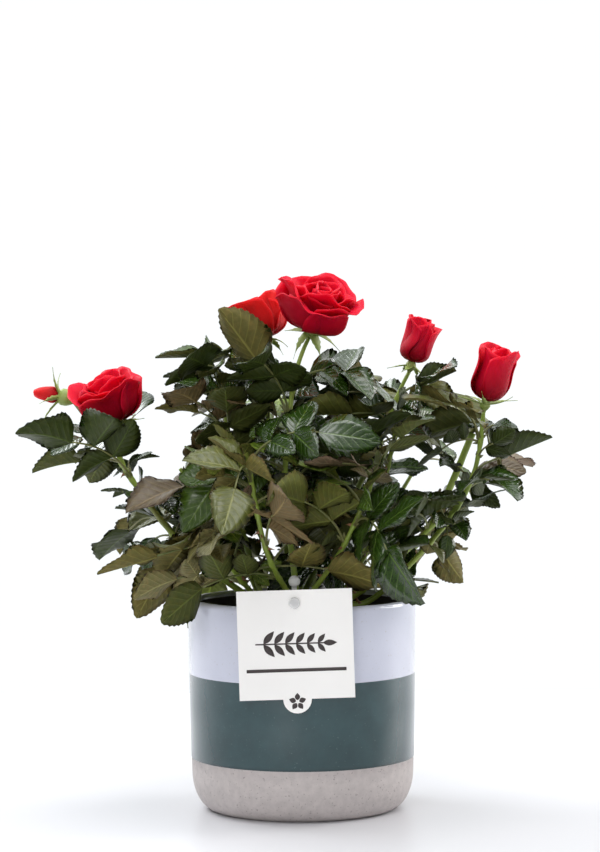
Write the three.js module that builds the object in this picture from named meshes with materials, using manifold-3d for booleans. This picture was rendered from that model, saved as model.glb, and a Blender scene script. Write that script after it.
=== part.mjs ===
// Potted miniature rose bush in a round ceramic pot with three bands.
// Millimetres, +Z up. The origin is the centre of the pot's flat underside, and the tag faces -Y.
import * as THREE from 'three';
import { mergeVertices } from 'three/addons/utils/BufferGeometryUtils.js';
import Module from 'manifold-3d';

const wasm = await Module();
wasm.setup();

// Pot and soil sizes
const potHeight = 125;
const rimRadius = 68;
const wallWidth = 5.6;
const footRadius = 53;
const cornerHeight = 23;
const cornerRadius = 66;
const floorDepth = 8;
const soilLevel = 112;
const clearance = 0.3;
const potSides = 36;

// Tag and its clear pick
const tagWidth = 66;
const tagHeight = 62.5;
const tagDepth = 0.8;
const tagCentre = new THREE.Vector3(-4.2, -68.4, 104.4);
const tagTiltDeg = 1.5;
const tabRadius = 8.2;
const pegHeight = 128.3;
const pegRadius = 1.6;
const pickReach = -57;
const pickLevel = 139.5;
const pickFoot = 80;
const pickWidth = 3;
const pickDepth = 1.5;
const knobRadius = 3.4;
const buttonRadius = 3.2;

// Canes: each is a short woody cutting in the soil with a knuckle that its boughs leave from
const knuckleRadius = 6;
const caneRadius = 5.7;
const caneLevel = 119.5;
const canes = {
  left: [-22, -10],
  front: [-2, -24],
  right: [22, -6],
  back: [-2, 22],
  far: [24, 28],
};

// Boughs: each leaves its cane and bends through a few points to its tip.
// bare counts the steps of its length below its mass of leaves, and leaves is how many the mass has.
const boughRadius = 1.7;
const tipRadius = 1.15;
const shoots = [
  { name: 'left', cane: 'left', via: [[-62, -18, 150], [-84, -20, 175], [-105, -21, 206], [-113, -20, 225]],
    bare: 4, leaves: 6, turn: 150, seed: 133, bloom: true },
  { name: 'upper_left', cane: 'left', via: [[-38, -1, 180], [-46, 6, 248]], bare: 3, leaves: 7,
    turn: 120, seed: 15 },
  { name: 'low_left', cane: 'left', via: [[-38, -34, 142], [-55, -46, 166]], bare: 4, leaves: 7,
    turn: 200, seed: 704 },
  { name: 'left_back', cane: 'left', via: [[-42, 30, 158], [-74, 46, 200]], bare: 3, leaves: 7,
    turn: 140, seed: 53 },
  { name: 'centre', cane: 'front', via: [[-5.5, -27, 153], [-9.8, -26, 190], [-4.6, -12, 249], [2, -8,
    279]],
    bare: 2, leaves: 8, turn: 250, seed: 5, bloom: true },
  { name: 'front', cane: 'front', via: [[-20, -50, 156], [-30, -62, 205]], bare: 3, leaves: 7,
    turn: 230, seed: 391 },
  { name: 'front_right', cane: 'front', via: [[24, -46, 158], [42, -60, 200]], bare: 3, leaves: 7,
    turn: 300, seed: 202 },
  { name: 'right', cane: 'right', via: [[44, -9, 126], [81, -14, 164], [102, -15, 199], [107, -15, 238]],
    bare: 5, leaves: 6, turn: 350, seed: 528, bloom: true },
  { name: 'mid_right', cane: 'right', via: [[44, 2, 175], [58, -4, 228]], bare: 3, leaves: 8, turn: 30,
    seed: 369 },
  { name: 'low_right', cane: 'right', via: [[46, -32, 140], [80, -42, 174]], bare: 3, leaves: 7,
    turn: 310, seed: 255 },
  { name: 'second', cane: 'back', via: [[-14, 18, 180], [-24, 22, 274]], bare: 2, leaves: 8, turn: 100,
    seed: 299, bloom: true },
  { name: 'right_back', cane: 'back', via: [[22, 34, 165], [48, 38, 215], [62, 36, 257]],
    bare: 2, leaves: 8, turn: 60, seed: 711, bloom: true },
  { name: 'back_left', cane: 'back', via: [[-26, 50, 160], [-48, 80, 212]], bare: 3, leaves: 7,
    turn: 110, seed: 90 },
  { name: 'back', cane: 'back', via: [[4, 60, 155], [10, 98, 206]], bare: 3, leaves: 7, turn: 90,
    seed: 647 },
  { name: 'far_right', cane: 'far', via: [[42, 46, 152], [70, 74, 196]], bare: 3, leaves: 7, turn: 45,
    seed: 15 },
  { name: 'far_low', cane: 'far', via: [[54, 26, 140], [98, 44, 180]], bare: 4, leaves: 7, turn: 20,
    seed: 320 },
];
// Blooms: petals stand on a calyx, which is a small hip with five sepals
const hipHeight = 6;
const hipRadius = 3.4;
const petalColour = '#c4121f';
const blooms = [
  { name: 'main', shoot: 'centre', axis: [0.22, -0.5, 0.84], form: 'open', radius: 26.5, height: 27,
    sepalRise: -15, sepal: 19 },
  { name: 'second', shoot: 'second', axis: [-0.12, 0.28, 0.95], form: 'open', radius: 23, height: 27,
    sepalRise: -5, sepal: 17 },
  { name: 'left', shoot: 'left', axis: [-0.28, -0.16, 0.95], form: 'half', radius: 21.5, height: 36,
    sepalRise: 5, sepal: 17 },
  { name: 'bud', shoot: 'left', axis: [-0.97, 0, 0.16], form: 'bud', radius: 5, height: 17,
    sepalRise: 40, sepal: 20 },
  { name: 'goblet', shoot: 'right_back', axis: [0.28, 0.04, 0.95], form: 'goblet', radius: 12.5,
    height: 30, sepalRise: -20, sepal: 15 },
  { name: 'right', shoot: 'right', axis: [0.16, -0.1, 0.98], form: 'goblet', radius: 14.5, height: 33,
    sepalRise: 10, sepal: 24 },
];
const budTwig = { from: 0.84, via: [-121, -4, 225], end: [-134, 3, 240.5] };

// Leaves that stand out in the outline: where they leave the bough, which way they go and their size
const shown = [
  { shoot: 'left', at: 0.82, turn: 181, rise: 30, droop: 20, roll: -50, pitch: 12, size: 42,
    pairCount: 0, petiole: 0.26 },
  { shoot: 'left', at: 0.6, turn: 184, rise: 15, droop: 60, roll: -20, pitch: 22, size: 34,
    pairCount: 1, petiole: 0.2 },
  { shoot: 'left', at: 0.76, turn: 170, rise: 15, droop: 30, roll: 25, pitch: 0, size: 30,
    pairCount: 1, petiole: 0.2 },
  { shoot: 'left', at: 0.8, turn: 345, rise: 30, droop: 40, roll: 30, pitch: 10, size: 24,
    pairCount: 0, petiole: 0.2 },
  { shoot: 'centre', at: 0.68, turn: 180, rise: 62, droop: 6, roll: 60, pitch: 12, size: 40,
    pairCount: 0, petiole: 0.45 },
  { shoot: 'centre', at: 0.55, turn: 215, rise: 30, droop: 80, roll: -30, pitch: 20, size: 36,
    pairCount: 2 },
  { shoot: 'upper_left', at: 0.98, turn: 176, rise: 45, droop: 30, roll: -30, pitch: 15, size: 26,
    pairCount: 0, petiole: 0.15 },
  { shoot: 'upper_left', at: 0.8, turn: 186, rise: 40, droop: 30, roll: 25, pitch: 10, size: 26,
    pairCount: 0, petiole: 0.4 },
  { shoot: 'low_left', at: 0.8, turn: 188, rise: 5, droop: 30, roll: 30, pitch: 0, size: 36, pairCount: 1 },
  { shoot: 'right', at: 0.74, turn: 0, rise: 45, droop: 50, roll: -30, pitch: -5, size: 33,
    pairCount: 0, petiole: 0.3 },
  { shoot: 'right', at: 0.9, turn: 15, rise: 10, droop: 30, roll: -40, pitch: 10, size: 32,
    pairCount: 0, petiole: 0.1 },
  { shoot: 'right', at: 0.93, turn: 168, rise: 5, droop: 20, roll: 40, pitch: 10, size: 32,
    pairCount: 0, petiole: 0.1 },
  { shoot: 'right_back', at: 0.85, turn: 195, rise: 25, droop: 40, roll: 20, pitch: 0, size: 32,
    pairCount: 1 },
];
const prunedStub = { cane: 'right', via: [[50, 16, 140], [77, 10, 165], [103, 9, 222]], radius: 2.2 };

// Leaves: five leaflets on a drooping stalk, dealt round the bough by the golden angle
const goldenTurn = 137.5;
const leafletSize = 34;
const leafletWidthShare = 0.72;
const leafletDepth = 0.9;
const stalkRadius = 0.95;
const leafGuard = 1.2;
const tries = 14;
const crownDepth = 142;

// The crown as the eye sees it from the front, from this far off and this high up.
// Leaves keep inside one of the rooms and out of every gap: [across, height, half width, half height]
const eyeDistance = 1553;
const eyeHeight = 271.7;
const rooms = [
  [1, 196, 85, 78],
  [-124, 219, 50, 28],
  [-100, 157, 54, 39],
  [-76, 124, 34, 25],
  [105, 219, 51, 39],
  [69, 159, 39, 39],
  [-38, 281, 25, 29],
  [-80, 240, 18, 12],
  [-60, 262, 27, 16],
  [63, 263, 30, 15],
];
const gaps = [
  [-73, 223, 5, 12],
  [-79, 205, 11, 6],
  [-88, 233, 11, 4],
  [62, 209, 12, 3],
  [72, 193, 13, 5],
  [100, 211, 6, 7],
  [86, 196, 7, 5],
  [-26, 162, 5, 8],
  [-88, 167, 6, 5],
  [-120, 176, 7, 3],
];

const up = new THREE.Vector3(0, 0, 1);
const group = new THREE.Group();
const vector = (point) => new THREE.Vector3(...point);
const radians = THREE.MathUtils.degToRad;

function addPiece(name, geometry, colour, roughness) {
  const material = new THREE.MeshStandardMaterial({ color: colour, roughness, metalness: 0 });
  const mesh = new THREE.Mesh(geometry, material);
  mesh.name = name;
  group.add(mesh);
}

// Solids: points and triangles to a closed body and back
function solidOf(points, faces) {
  const vertProperties = new Float32Array(points.flatMap((p) => [p.x, p.y, p.z]));
  return new wasm.Manifold(new wasm.Mesh({ numProp: 3, vertProperties,
      triVerts: new Uint32Array(faces.flat()) }));
}

// Keeps the largest body, which drops a loose scrap and fills a sealed hollow
function geometryOf(solid) {
  const { vertProperties, triVerts } = solid.getMesh();
  const owner = Array.from({ length: vertProperties.length / 3 }, (_, i) => i);
  const rootOf = (i) => {
    let root = i;
    while (owner[root] !== root) root = owner[root];
    owner[i] = root;
    return root;
  };
  for (let t = 0; t < triVerts.length; t += 3) {
    owner[rootOf(triVerts[t])] = rootOf(triVerts[t + 1]);
    owner[rootOf(triVerts[t + 1])] = rootOf(triVerts[t + 2]);
  }
  const corner = (i) => new THREE.Vector3().fromArray(vertProperties, 3 * i);
  const volumes = new Map();
  for (let t = 0; t < triVerts.length; t += 3) {
    const [a, b, c] = [0, 1, 2].map((k) => corner(triVerts[t + k]));
    const root = rootOf(triVerts[t]);
    volumes.set(root, (volumes.get(root) ?? 0) + a.dot(b.cross(c)));
  }
  const largest = [...volumes.keys()].reduce((a, b) => (volumes.get(a) > volumes.get(b) ? a : b));
  const kept = [];
  for (let t = 0; t < triVerts.length; t += 3) {
    if (rootOf(triVerts[t]) === largest) kept.push(triVerts[t], triVerts[t + 1], triVerts[t + 2]);
  }
  const geometry = new THREE.BufferGeometry();
  geometry.setAttribute('position', new THREE.BufferAttribute(new Float32Array(vertProperties), 3));
  geometry.setIndex(kept);
  return geometry;
}

function joined(solids) {
  return solids.reduce((whole, solid) => whole.add(solid));
}

// A limb: rings of a few sides carried along its points, with flat ends
function limb(points, radii, sides) {
  const corners = [];
  const faces = [];
  let side = new THREE.Vector3(0.31, 0.95, 0.05);
  points.forEach((point, i) => {
    const ahead = points[Math.min(i + 1, points.length - 1)];
    const behind = points[Math.max(i - 1, 0)];
    const along = ahead.clone().sub(behind).normalize();
    side = side.clone().addScaledVector(along, -side.dot(along)).normalize();
    const across = along.clone().cross(side);
    for (let k = 0; k < sides; k += 1) {
      const angle = (2 * Math.PI * k) / sides;
      corners.push(point.clone()
        .addScaledVector(side, radii[i] * Math.cos(angle))
        .addScaledVector(across, radii[i] * Math.sin(angle)));
    }
  });
  for (let i = 0; i < points.length - 1; i += 1) {
    for (let k = 0; k < sides; k += 1) {
      const next = (k + 1) % sides;
      const [a, b] = [i * sides + k, i * sides + next];
      faces.push([a, b, b + sides], [a, b + sides, a + sides]);
    }
  }
  const last = (points.length - 1) * sides;
  for (let k = 1; k < sides - 1; k += 1) {
    faces.push([0, k + 1, k], [last, last + k, last + k + 1]);
  }
  return solidOf(corners, faces);
}

// Paths: a smooth curve through a few points
function pointOn(path, share) {
  const last = path.length - 1;
  const at = Math.min(Math.max(share, 0) * last, last - 1e-9);
  const i = Math.floor(at);
  const u = at - i;
  const [a, b, c, d] = [path[Math.max(i - 1, 0)], path[i], path[i + 1], path[Math.min(i + 2, last)]];
  const blend = (p, q, r, s) => 0.5 * (2 * q + (r - p) * u + (2 * p - 5 * q + 4 * r - s) * u * u
    + (3 * q - p - 3 * r + s) * u * u * u);
  return new THREE.Vector3(blend(a.x, b.x, c.x, d.x), blend(a.y, b.y, c.y, d.y), blend(a.z, b.z, c.z, d.z));
}

const stemSteps = 12;

function stemOf(shoot) {
  const [x, y] = canes[shoot.cane];
  const knuckle = new THREE.Vector3(x, y, caneLevel);
  const via = shoot.via.map(vector);
  const leaving = via[0].clone().sub(knuckle).normalize();
  const path = [knuckle.addScaledVector(leaving, knuckleRadius + clearance), ...via];
  return Array.from({ length: stemSteps + 1 }, (_, i) => pointOn(path, i / stemSteps));
}

function stemPoint(shoot, share) {
  const at = share * stemSteps;
  const i = Math.min(Math.floor(at), stemSteps - 1);
  return shoot.stem[i].clone().lerp(shoot.stem[i + 1], at - i);
}

// Seeded chance, the same on every machine
function dice(seed) {
  let state = seed * 7919 + 17;
  return () => {
    state = (state * 1664525 + 1013904223) % 4294967296;
    return state / 4294967296;
  };
}

// A leaflet's outline from its root, right side first, as [along, across, height] shares
const leafletRing = [[0, 0, 0], [0.28, -0.46, 0.03], [0.68, -0.42, 0.02], [1, 0, -0.1], [0.68, 0.42,
    0.02], [0.28, 0.46, 0.03]];
const leafletMiddle = [0.45, 0, -0.03];

function leafletPoint(leaflet, [along, across, height]) {
  return leaflet.root.clone()
    .addScaledVector(leaflet.forward, along * leaflet.size)
    .addScaledVector(leaflet.side, across * leaflet.size * leafletWidthShare)
    .addScaledVector(leaflet.up, height * leaflet.size);
}

function leafletAt(root, forward, upward, size) {
  const side = upward.clone().cross(forward).normalize();
  return { root, forward, side, up: forward.clone().cross(side).normalize(), size };
}

// A whole leaf: its stalk rises from the bough and droops, with pairs of leaflets and one at the end
const petioleShare = 0.28;
const pairShare = 0.42;
const pairTurn = radians(66);

function leafFrom(root, { turn, rise, droop, roll, pitch, size, pairCount, petiole = petioleShare }) {
  const outward = new THREE.Vector3(Math.cos(radians(turn)), Math.sin(radians(turn)), 0);
  const steps = [petiole, petiole, ...Array(pairCount).fill(pairShare)];
  const leaf = { stalk: [root], frames: [], pairs: [] };
  steps.forEach((share, i) => {
    const slope = radians(rise - (droop * i) / steps.length);
    const forward = outward.clone().multiplyScalar(Math.cos(slope)).addScaledVector(up, Math.sin(slope));
    const point = leaf.stalk[i].clone().addScaledVector(forward, share * size);
    const upward = outward.clone().multiplyScalar(-Math.sin(slope)).addScaledVector(up, Math.cos(slope))
      .applyAxisAngle(forward, radians(roll));
    const frame = leafletAt(point, forward, upward, size);
    leaf.stalk.push(point);
    leaf.frames.push(frame);
    if (i === 0) return;
    if (i === steps.length - 1) {
      leaf.end = leafletAt(point, forward.clone().applyAxisAngle(frame.side, radians(pitch)), upward, size);
      return;
    }
    leaf.pairs.push([-1, 1].map((hand) => {
      const aside = forward.clone().applyAxisAngle(frame.up, pairTurn * hand).addScaledVector(frame.up,
          -0.12).normalize();
      return leafletAt(point, aside, frame.up, size * (i === pairCount ? 0.86 : 0.7));
    }));
  });
  return leaf;
}

function axisFrame(axis) {
  const along = vector(axis).normalize();
  const level = Math.abs(along.z) > 0.9 ? new THREE.Vector3(1, 0, 0) : up;
  const side = along.clone().cross(level).normalize();
  return { along, side, across: along.clone().cross(side) };
}

// Guards: the lines and triangles that show whether two things would touch
function triangleOf(a, b, c) {
  return { a, ab: b.clone().sub(a), ac: c.clone().sub(a) };
}

function crosses([from, to], { a, ab, ac }) {
  const along = to.clone().sub(from);
  const p = along.clone().cross(ac);
  const scale = ab.dot(p);
  if (Math.abs(scale) < 1e-9) return false;
  const start = from.clone().sub(a);
  const u = start.dot(p) / scale;
  if (u < 0 || u > 1) return false;
  const q = start.clone().cross(ab);
  const v = along.dot(q) / scale;
  if (v < 0 || u + v > 1) return false;
  const t = ac.dot(q) / scale;
  return t >= 0 && t <= 1;
}

function leafletGuard(leaflet) {
  const ring = leafletRing.map((share) => leafletPoint(leaflet, share));
  const middle = leafletPoint(leaflet, leafletMiddle);
  const lift = leaflet.up.clone().multiplyScalar(leafGuard);
  const raised = (point, sign) => point.clone().addScaledVector(lift, sign);
  const lines = [...ring, middle].map((point) => [raised(point, -1), raised(point, 1)]);
  const triangles = [];
  ring.forEach((point, i) => {
    const next = ring[(i + 1) % ring.length];
    lines.push([raised(point, -1), raised(next, -1)], [raised(point, 1), raised(next, 1)]);
    triangles.push(triangleOf(middle, point, next));
  });
  lines.push([ring[0], middle], [middle, ring[3]]);
  return { lines, triangles, centre: middle, reach: leaflet.size * 0.62 + leafGuard, ring };
}

function limbGuard(from, to, radius) {
  const along = to.clone().sub(from).normalize();
  const level = Math.abs(along.z) > 0.9 ? new THREE.Vector3(1, 0, 0) : up;
  const side = along.clone().cross(level).normalize();
  const across = along.clone().cross(side);
  const lines = [[from, to]];
  const triangles = [];
  [side, across].forEach((way) => {
    const offset = (point, width) => point.clone().addScaledVector(way, width);
    const near = radius + 0.5;
    const wide = (radius + 0.4) * Math.SQRT2;
    lines.push([offset(from, near), offset(to, near)], [offset(from, -near), offset(to, -near)]);
    triangles.push(triangleOf(offset(from, wide), offset(from, -wide), offset(to, wide)));
    triangles.push(triangleOf(offset(to, -wide), offset(from, -wide), offset(to, wide)));
  });
  const centre = from.clone().add(to).multiplyScalar(0.5);
  return { lines, triangles, centre, reach: from.distanceTo(to) / 2 + 2 * radius + 1, ring: [from, to] };
}

function touch(one, other) {
  if (one.centre.distanceTo(other.centre) > one.reach + other.reach) return false;
  return one.lines.some((line) => other.triangles.some((triangle) => crosses(line, triangle)))
    || other.lines.some((line) => one.triangles.some((triangle) => crosses(line, triangle)));
}

// The crown's space: clear of the pot, the soil and the tag, inside a room and out of the gaps
function inEllipse([x, z, halfWidth, halfHeight], across, height) {
  return ((across - x) / halfWidth) ** 2 + ((height - z) / halfHeight) ** 2 < 1;
}

function pointFits(point) {
  const fromAxis = Math.hypot(point.x, point.y);
  const margin = 2.5;
  if (point.z < potHeight + margin && fromAxis > rimRadius - wallWidth - margin
      && fromAxis < rimRadius + margin) return false;
  if (point.z < soilLevel + margin && fromAxis < rimRadius) return false;
  if (point.z < pickLevel + 5 && point.y < pickReach + 5
      && Math.abs(point.x - tagCentre.x) < tagWidth / 2 + 4) return false;
  if (blooms.some((bloom) => inBloom(point, bloom))) return false;
  return Math.abs(point.y) < crownDepth;
}

function seenFits(point) {
  const scale = eyeDistance / (eyeDistance + point.y);
  const across = point.x * scale;
  const height = eyeHeight - (eyeHeight - point.z) * scale;
  return rooms.some((room) => inEllipse(room, across, height)) && !gaps.some((gap) => inEllipse(gap,
      across, height));
}

function spaceFits(guard) {
  const { ring } = guard;
  const between = ring.map((point,
      i) => point.clone().add(ring[(i + 1) % ring.length]).multiplyScalar(0.5));
  return [...ring, ...between, guard.centre].every((point) => pointFits(point) && seenFits(point));
}

// Growth: boughs and blooms first, then one leaf a bough in turn, each in the first place that is clear
const standing = [];

function growBoughs() {
  Object.values(canes).forEach(([x, y]) => {
    const [foot, knuckle] = [new THREE.Vector3(x, y, soilLevel), new THREE.Vector3(x, y, caneLevel + 4)];
    standing.push(limbGuard(foot, knuckle, caneRadius));
  });
  [...shoots, prunedStub].forEach((shoot) => {
    shoot.stem = stemOf(shoot);
    for (let i = 0; i < stemSteps; i += 1) {
      standing.push({ ...limbGuard(shoot.stem[i], shoot.stem[i + 1], shoot.radius ?? boughRadius),
          owner: shoot });
    }
  });
}

function seatBlooms() {
  blooms.forEach((bloom) => {
    const shoot = shoots.find(({ name }) => name === bloom.shoot);
    const { along, side, across } = axisFrame(bloom.axis);
    const tip = bloom.name === 'bud' ? vector(budTwig.end) : stemPoint(shoot, 1);
    bloom.foot = tip.addScaledVector(along, 0.6 + clearance);
    bloom.petalFoot = bloom.foot.clone().addScaledVector(along, hipHeight + clearance);
    bloom.sepals = [0, 1, 2, 3, 4].map((k) => {
      const angle = (2 * Math.PI * k) / 5 + 0.5;
      const outward = side.clone().multiplyScalar(Math.cos(angle)).addScaledVector(across, Math.sin(angle));
      const slope = radians(bloom.sepalRise);
      const forward = outward.clone().multiplyScalar(Math.cos(slope)).addScaledVector(along,
          Math.sin(slope));
      const root = bloom.foot.clone().addScaledVector(along, 0.62 * hipHeight).addScaledVector(outward,
          0.8);
      return leafletAt(root, forward, along, bloom.sepal);
    });
    standing.push(limbGuard(bloom.foot, bloom.petalFoot, hipRadius));
    bloom.sepals.forEach((sepal) => {
      standing.push(limbGuard(sepal.root, sepal.root.clone().addScaledVector(sepal.forward,
          bloom.sepal), 1.8));
    });
  });
  const twig = [stemPoint(shoots[0], budTwig.from), vector(budTwig.via), vector(budTwig.end)];
  standing.push(limbGuard(twig[0], twig[1], 1), limbGuard(twig[1], twig[2], 1));
}

function inBloom(point, { axis, petalFoot, radius, height }) {
  const from = point.clone().sub(petalFoot);
  const along = from.dot(vector(axis).normalize());
  const away = Math.sqrt(Math.max(from.lengthSq() - along * along, 0));
  return along > -3 && along < height + 3 && away < radius * Math.min(1.1,
      0.4 + 1.3 * (along / height)) + 3;
}

// The first attempt at a leaf follows its place on the bough, and later ones wander further from it
function leafPlan(shoot, index, attempt, heightShare, random) {
  return {
    turn: shoot.turn + goldenTurn * index + (random() - 0.5) * (60 + 25 * attempt),
    rise: 25 + 35 * heightShare + (random() - 0.5) * 50,
    droop: 20 + random() * 90,
    roll: (random() - 0.5) * 110,
    pitch: (random() - 0.35) * 50,
    size: leafletSize * (0.82 + 0.36 * random()),
    pairCount: random() < 0.75 ? 2 : 1,
  };
}

// A leaf that fits: its stalk and end leaflet are clear, and a side leaflet that isn't is skipped
function fitted(shoot, root, plan) {
  const clear = (guard, mate) => spaceFits(guard)
    && !standing.some((other) => !(mate && other.owner === mate) && touch(guard, other));
  const leaf = leafFrom(root, plan);
  const stalkGuards = leaf.stalk.slice(1).map((point, i) => limbGuard(leaf.stalk[i], point, stalkRadius));
  if (!clear(leafletGuard(leaf.end)) || !stalkGuards.every((guard, i) => clear(guard, i === 0 ? shoot
      : null))) return null;
  const pairs = leaf.pairs.map((pair) => pair.map((leaflet) => (clear(leafletGuard(leaflet))
      ? leaflet : null)));
  const count = 1 + pairs.flat().filter(Boolean).length;
  return { ...leaf, pairs, count, full: count === 1 + 2 * pairs.length, stalkGuards };
}

function settle(shoot, leaf) {
  shoot.grown.push(leaf);
  leaf.stalkGuards.forEach((guard) => standing.push({ ...guard, owner: shoot }));
  [leaf.end, ...leaf.pairs.flat()].filter(Boolean).forEach((leaflet) => standing.push(leafletGuard(leaflet)));
}

function tryLeaf(shoot, index) {
  const top = shoot.bloom ? 0.86 : 1;
  const lowest = (shoot.bare + 0.5) / stemSteps;
  const root = stemPoint(shoot, lowest + ((top - lowest) * index) / (shoot.leaves - 1));
  const heightShare = (root.z - soilLevel) / (eyeHeight - soilLevel);
  let best = { count: 1 };
  for (let attempt = 0; attempt < tries && !best.full; attempt += 1) {
    const leaf = fitted(shoot, root, leafPlan(shoot, index, attempt, heightShare, shoot.random));
    if (leaf && leaf.count > best.count) best = leaf;
  }
  if (best.count > 1) settle(shoot, best);
}

function growLeaves() {
  shoots.forEach((shoot) => {
    shoot.random = dice(shoot.seed);
    shoot.grown = [];
  });
  shown.forEach((plan) => {
    const shoot = shoots.find(({ name }) => name === plan.shoot);
    const leaf = fitted(shoot, stemPoint(shoot, plan.at), plan);
    if (leaf) settle(shoot, leaf);
  });
  const most = Math.max(...shoots.map((shoot) => shoot.leaves));
  for (let index = 0; index < most; index += 1) {
    shoots.filter((shoot) => index < shoot.leaves).forEach((shoot) => tryLeaf(shoot, index));
  }
}

// A whole leaf as one closed body: a three-sided stalk whose sides open into blades with a raised back
const fullEdge = [1, 2, 3, 4, 5];
const smallEdge = [1, 3, 5];
const smallSize = 27;

function leafSolid(leaf) {
  const corners = [];
  const faces = [];
  const add = (point) => corners.push(point) - 1;
  const rings = [];
  const addRing = (centre, frame, width) => rings.push({
    left: add(centre.clone().addScaledVector(frame.side, 0.9 * width).addScaledVector(frame.up,
        0.4 * width)),
    right: add(centre.clone().addScaledVector(frame.side, -0.9 * width).addScaledVector(frame.up,
        0.4 * width)),
    below: add(centre.clone().addScaledVector(frame.up, -width)),
  });
  const addBlade = (leaflet, leftBase, rightBase, under) => {
    const edge = (leaflet.size < smallSize ? smallEdge : fullEdge).map((i) => add(leafletPoint(leaflet,
        leafletRing[i])));
    const middle = leafletPoint(leaflet, leafletMiddle);
    const top = add(middle.clone().addScaledVector(leaflet.up, leafletDepth / 2));
    const bottom = add(middle.clone().addScaledVector(leaflet.up, -leafletDepth / 2));
    const upper = [leftBase, rightBase, ...edge];
    const lower = [leftBase, ...[...edge].reverse(), rightBase, ...under];
    upper.forEach((corner, i) => faces.push([top, corner, upper[(i + 1) % upper.length]]));
    lower.forEach((corner, i) => faces.push([bottom, corner, lower[(i + 1) % lower.length]]));
  };
  const frames = leaf.frames;
  const last = leaf.stalk.length - 1;
  leaf.stalk.forEach((point, i) => {
    const width = stalkRadius * (1 - 0.08 * i);
    const frame = frames[Math.max(i - 1, 0)];
    const isNode = i >= 2 && i < last;
    if (isNode) addRing(point.clone().addScaledVector(frame.forward, -0.9), frame, width);
    addRing(isNode ? point.clone().addScaledVector(frame.forward, 0.9) : point, frame, width);
  });
  faces.push([rings[0].right, rings[0].left, rings[0].below]);
  for (let i = 0; i < rings.length - 1; i += 1) {
    const [a, b] = [rings[i], rings[i + 1]];
    const pair = i >= 2 && i % 2 === 0 && i < rings.length - 2 ? leaf.pairs[i / 2 - 1] : [];
    faces.push([a.right, b.right, b.left], [a.right, b.left, a.left]);
    if (pair[1]) addBlade(pair[1], a.left, b.left, [b.below, a.below]);
    else faces.push([a.left, b.left, b.below], [a.left, b.below, a.below]);
    if (pair[0]) addBlade(pair[0], b.right, a.right, [a.below, b.below]);
    else faces.push([a.right, a.below, b.below], [a.right, b.below, b.right]);
  }
  const end = rings[rings.length - 1];
  addBlade(leaf.end, end.left, end.right, [end.below]);
  return solidOf(corners, faces);
}

// Whorl: a lobed body round an axis, from rings of [radius, height, lobe depth, wave]
function whorl(base, axis, rings, lobes, phase, sides) {
  const { along, side, across } = axisFrame(axis);
  const place = (radius, angle, height) => base.clone()
    .addScaledVector(side, radius * Math.cos(angle))
    .addScaledVector(across, radius * Math.sin(angle))
    .addScaledVector(along, height);
  const corners = [];
  rings.forEach(([radius, height, depth = 0, wave = 0]) => {
    for (let k = 0; k < sides; k += 1) {
      const angle = (2 * Math.PI * k) / sides;
      const lobe = Math.cos(lobes * angle + phase);
      corners.push(place(radius * (1 + depth * lobe), angle, height + wave * lobe));
    }
  });
  const first = corners.push(place(0, 0, rings[0][1])) - 1;
  const last = corners.push(place(0, 0, rings[rings.length - 1][1])) - 1;
  const faces = [];
  for (let k = 0; k < sides; k += 1) {
    const next = (k + 1) % sides;
    faces.push([first, next, k], [last, (rings.length - 1) * sides + k, (rings.length - 1) * sides + next]);
    for (let i = 0; i < rings.length - 1; i += 1) {
      const [a, b] = [i * sides + k, i * sides + next];
      faces.push([a, b, b + sides], [a, b + sides, a + sides]);
    }
  }
  return solidOf(corners, faces);
}

// Petals, from the outer layer to the inner
const forms = {
  open: [
    [[0.2, 0, 0, 0], [0.66, 0.18, 0.05, 0], [1, 0.54, 0.09, 0.06], [0.45, 0.44, 0, 0]],
    [[0.14, 0.04, 0, 0], [0.52, 0.3, 0.05, 0], [0.72, 0.78, 0.09, 0.06], [0.3, 0.62, 0, 0]],
    [[0.14, 0.08, 0, 0], [0.36, 0.4, 0.05, 0], [0.42, 0.98, 0.1, 0.04], [0.12, 0.88, 0, 0]],
  ],
  half: [
    [[0.2, 0, 0, 0], [0.74, 0.2, 0.03, 0], [0.96, 0.62, 0.07, 0.03], [1, 0.84, 0.08, 0.05], [0.86,
        0.86, 0.08, 0.05], [0.5, 0.66, 0, 0]],
    [[0.2, 0.1, 0, 0], [0.5, 0.4, 0.04, 0], [0.62, 0.94, 0.1, 0.04], [0.44, 1, 0.1, 0], [0.16, 0.8, 0, 0]],
  ],
  goblet: [
    [[0.3, 0, 0, 0], [0.86, 0.16, 0.03, 0], [1, 0.42, 0.06, 0.02], [0.86, 0.78, 0.1, 0.06], [0.6, 0.82,
        0.1, 0.06], [0.4, 0.74, 0, 0]],
    [[0.3, 0.1, 0, 0], [0.6, 0.5, 0.04, 0], [0.58, 0.92, 0.12, 0.04], [0.3, 1, 0.1, 0], [0.1, 0.9, 0, 0]],
  ],
  bud: [
    [[0.6, 0, 0, 0], [0.95, 0.3, 0.05, 0], [0.9, 0.62, 0.08, 0], [0.5, 0.9, 0.12, 0], [0.12, 1, 0, 0]],
  ],
};

function petalsSolid(bloom) {
  return joined(forms[bloom.form].map((rings, layer) => whorl(bloom.petalFoot, bloom.axis,
    rings.map(([r, h, depth, wave]) => [r * bloom.radius, h * bloom.height, depth, wave * bloom.height]),
    5, 1.3 * layer, bloom.form === 'open' ? 15 : 10)));
}

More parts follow.
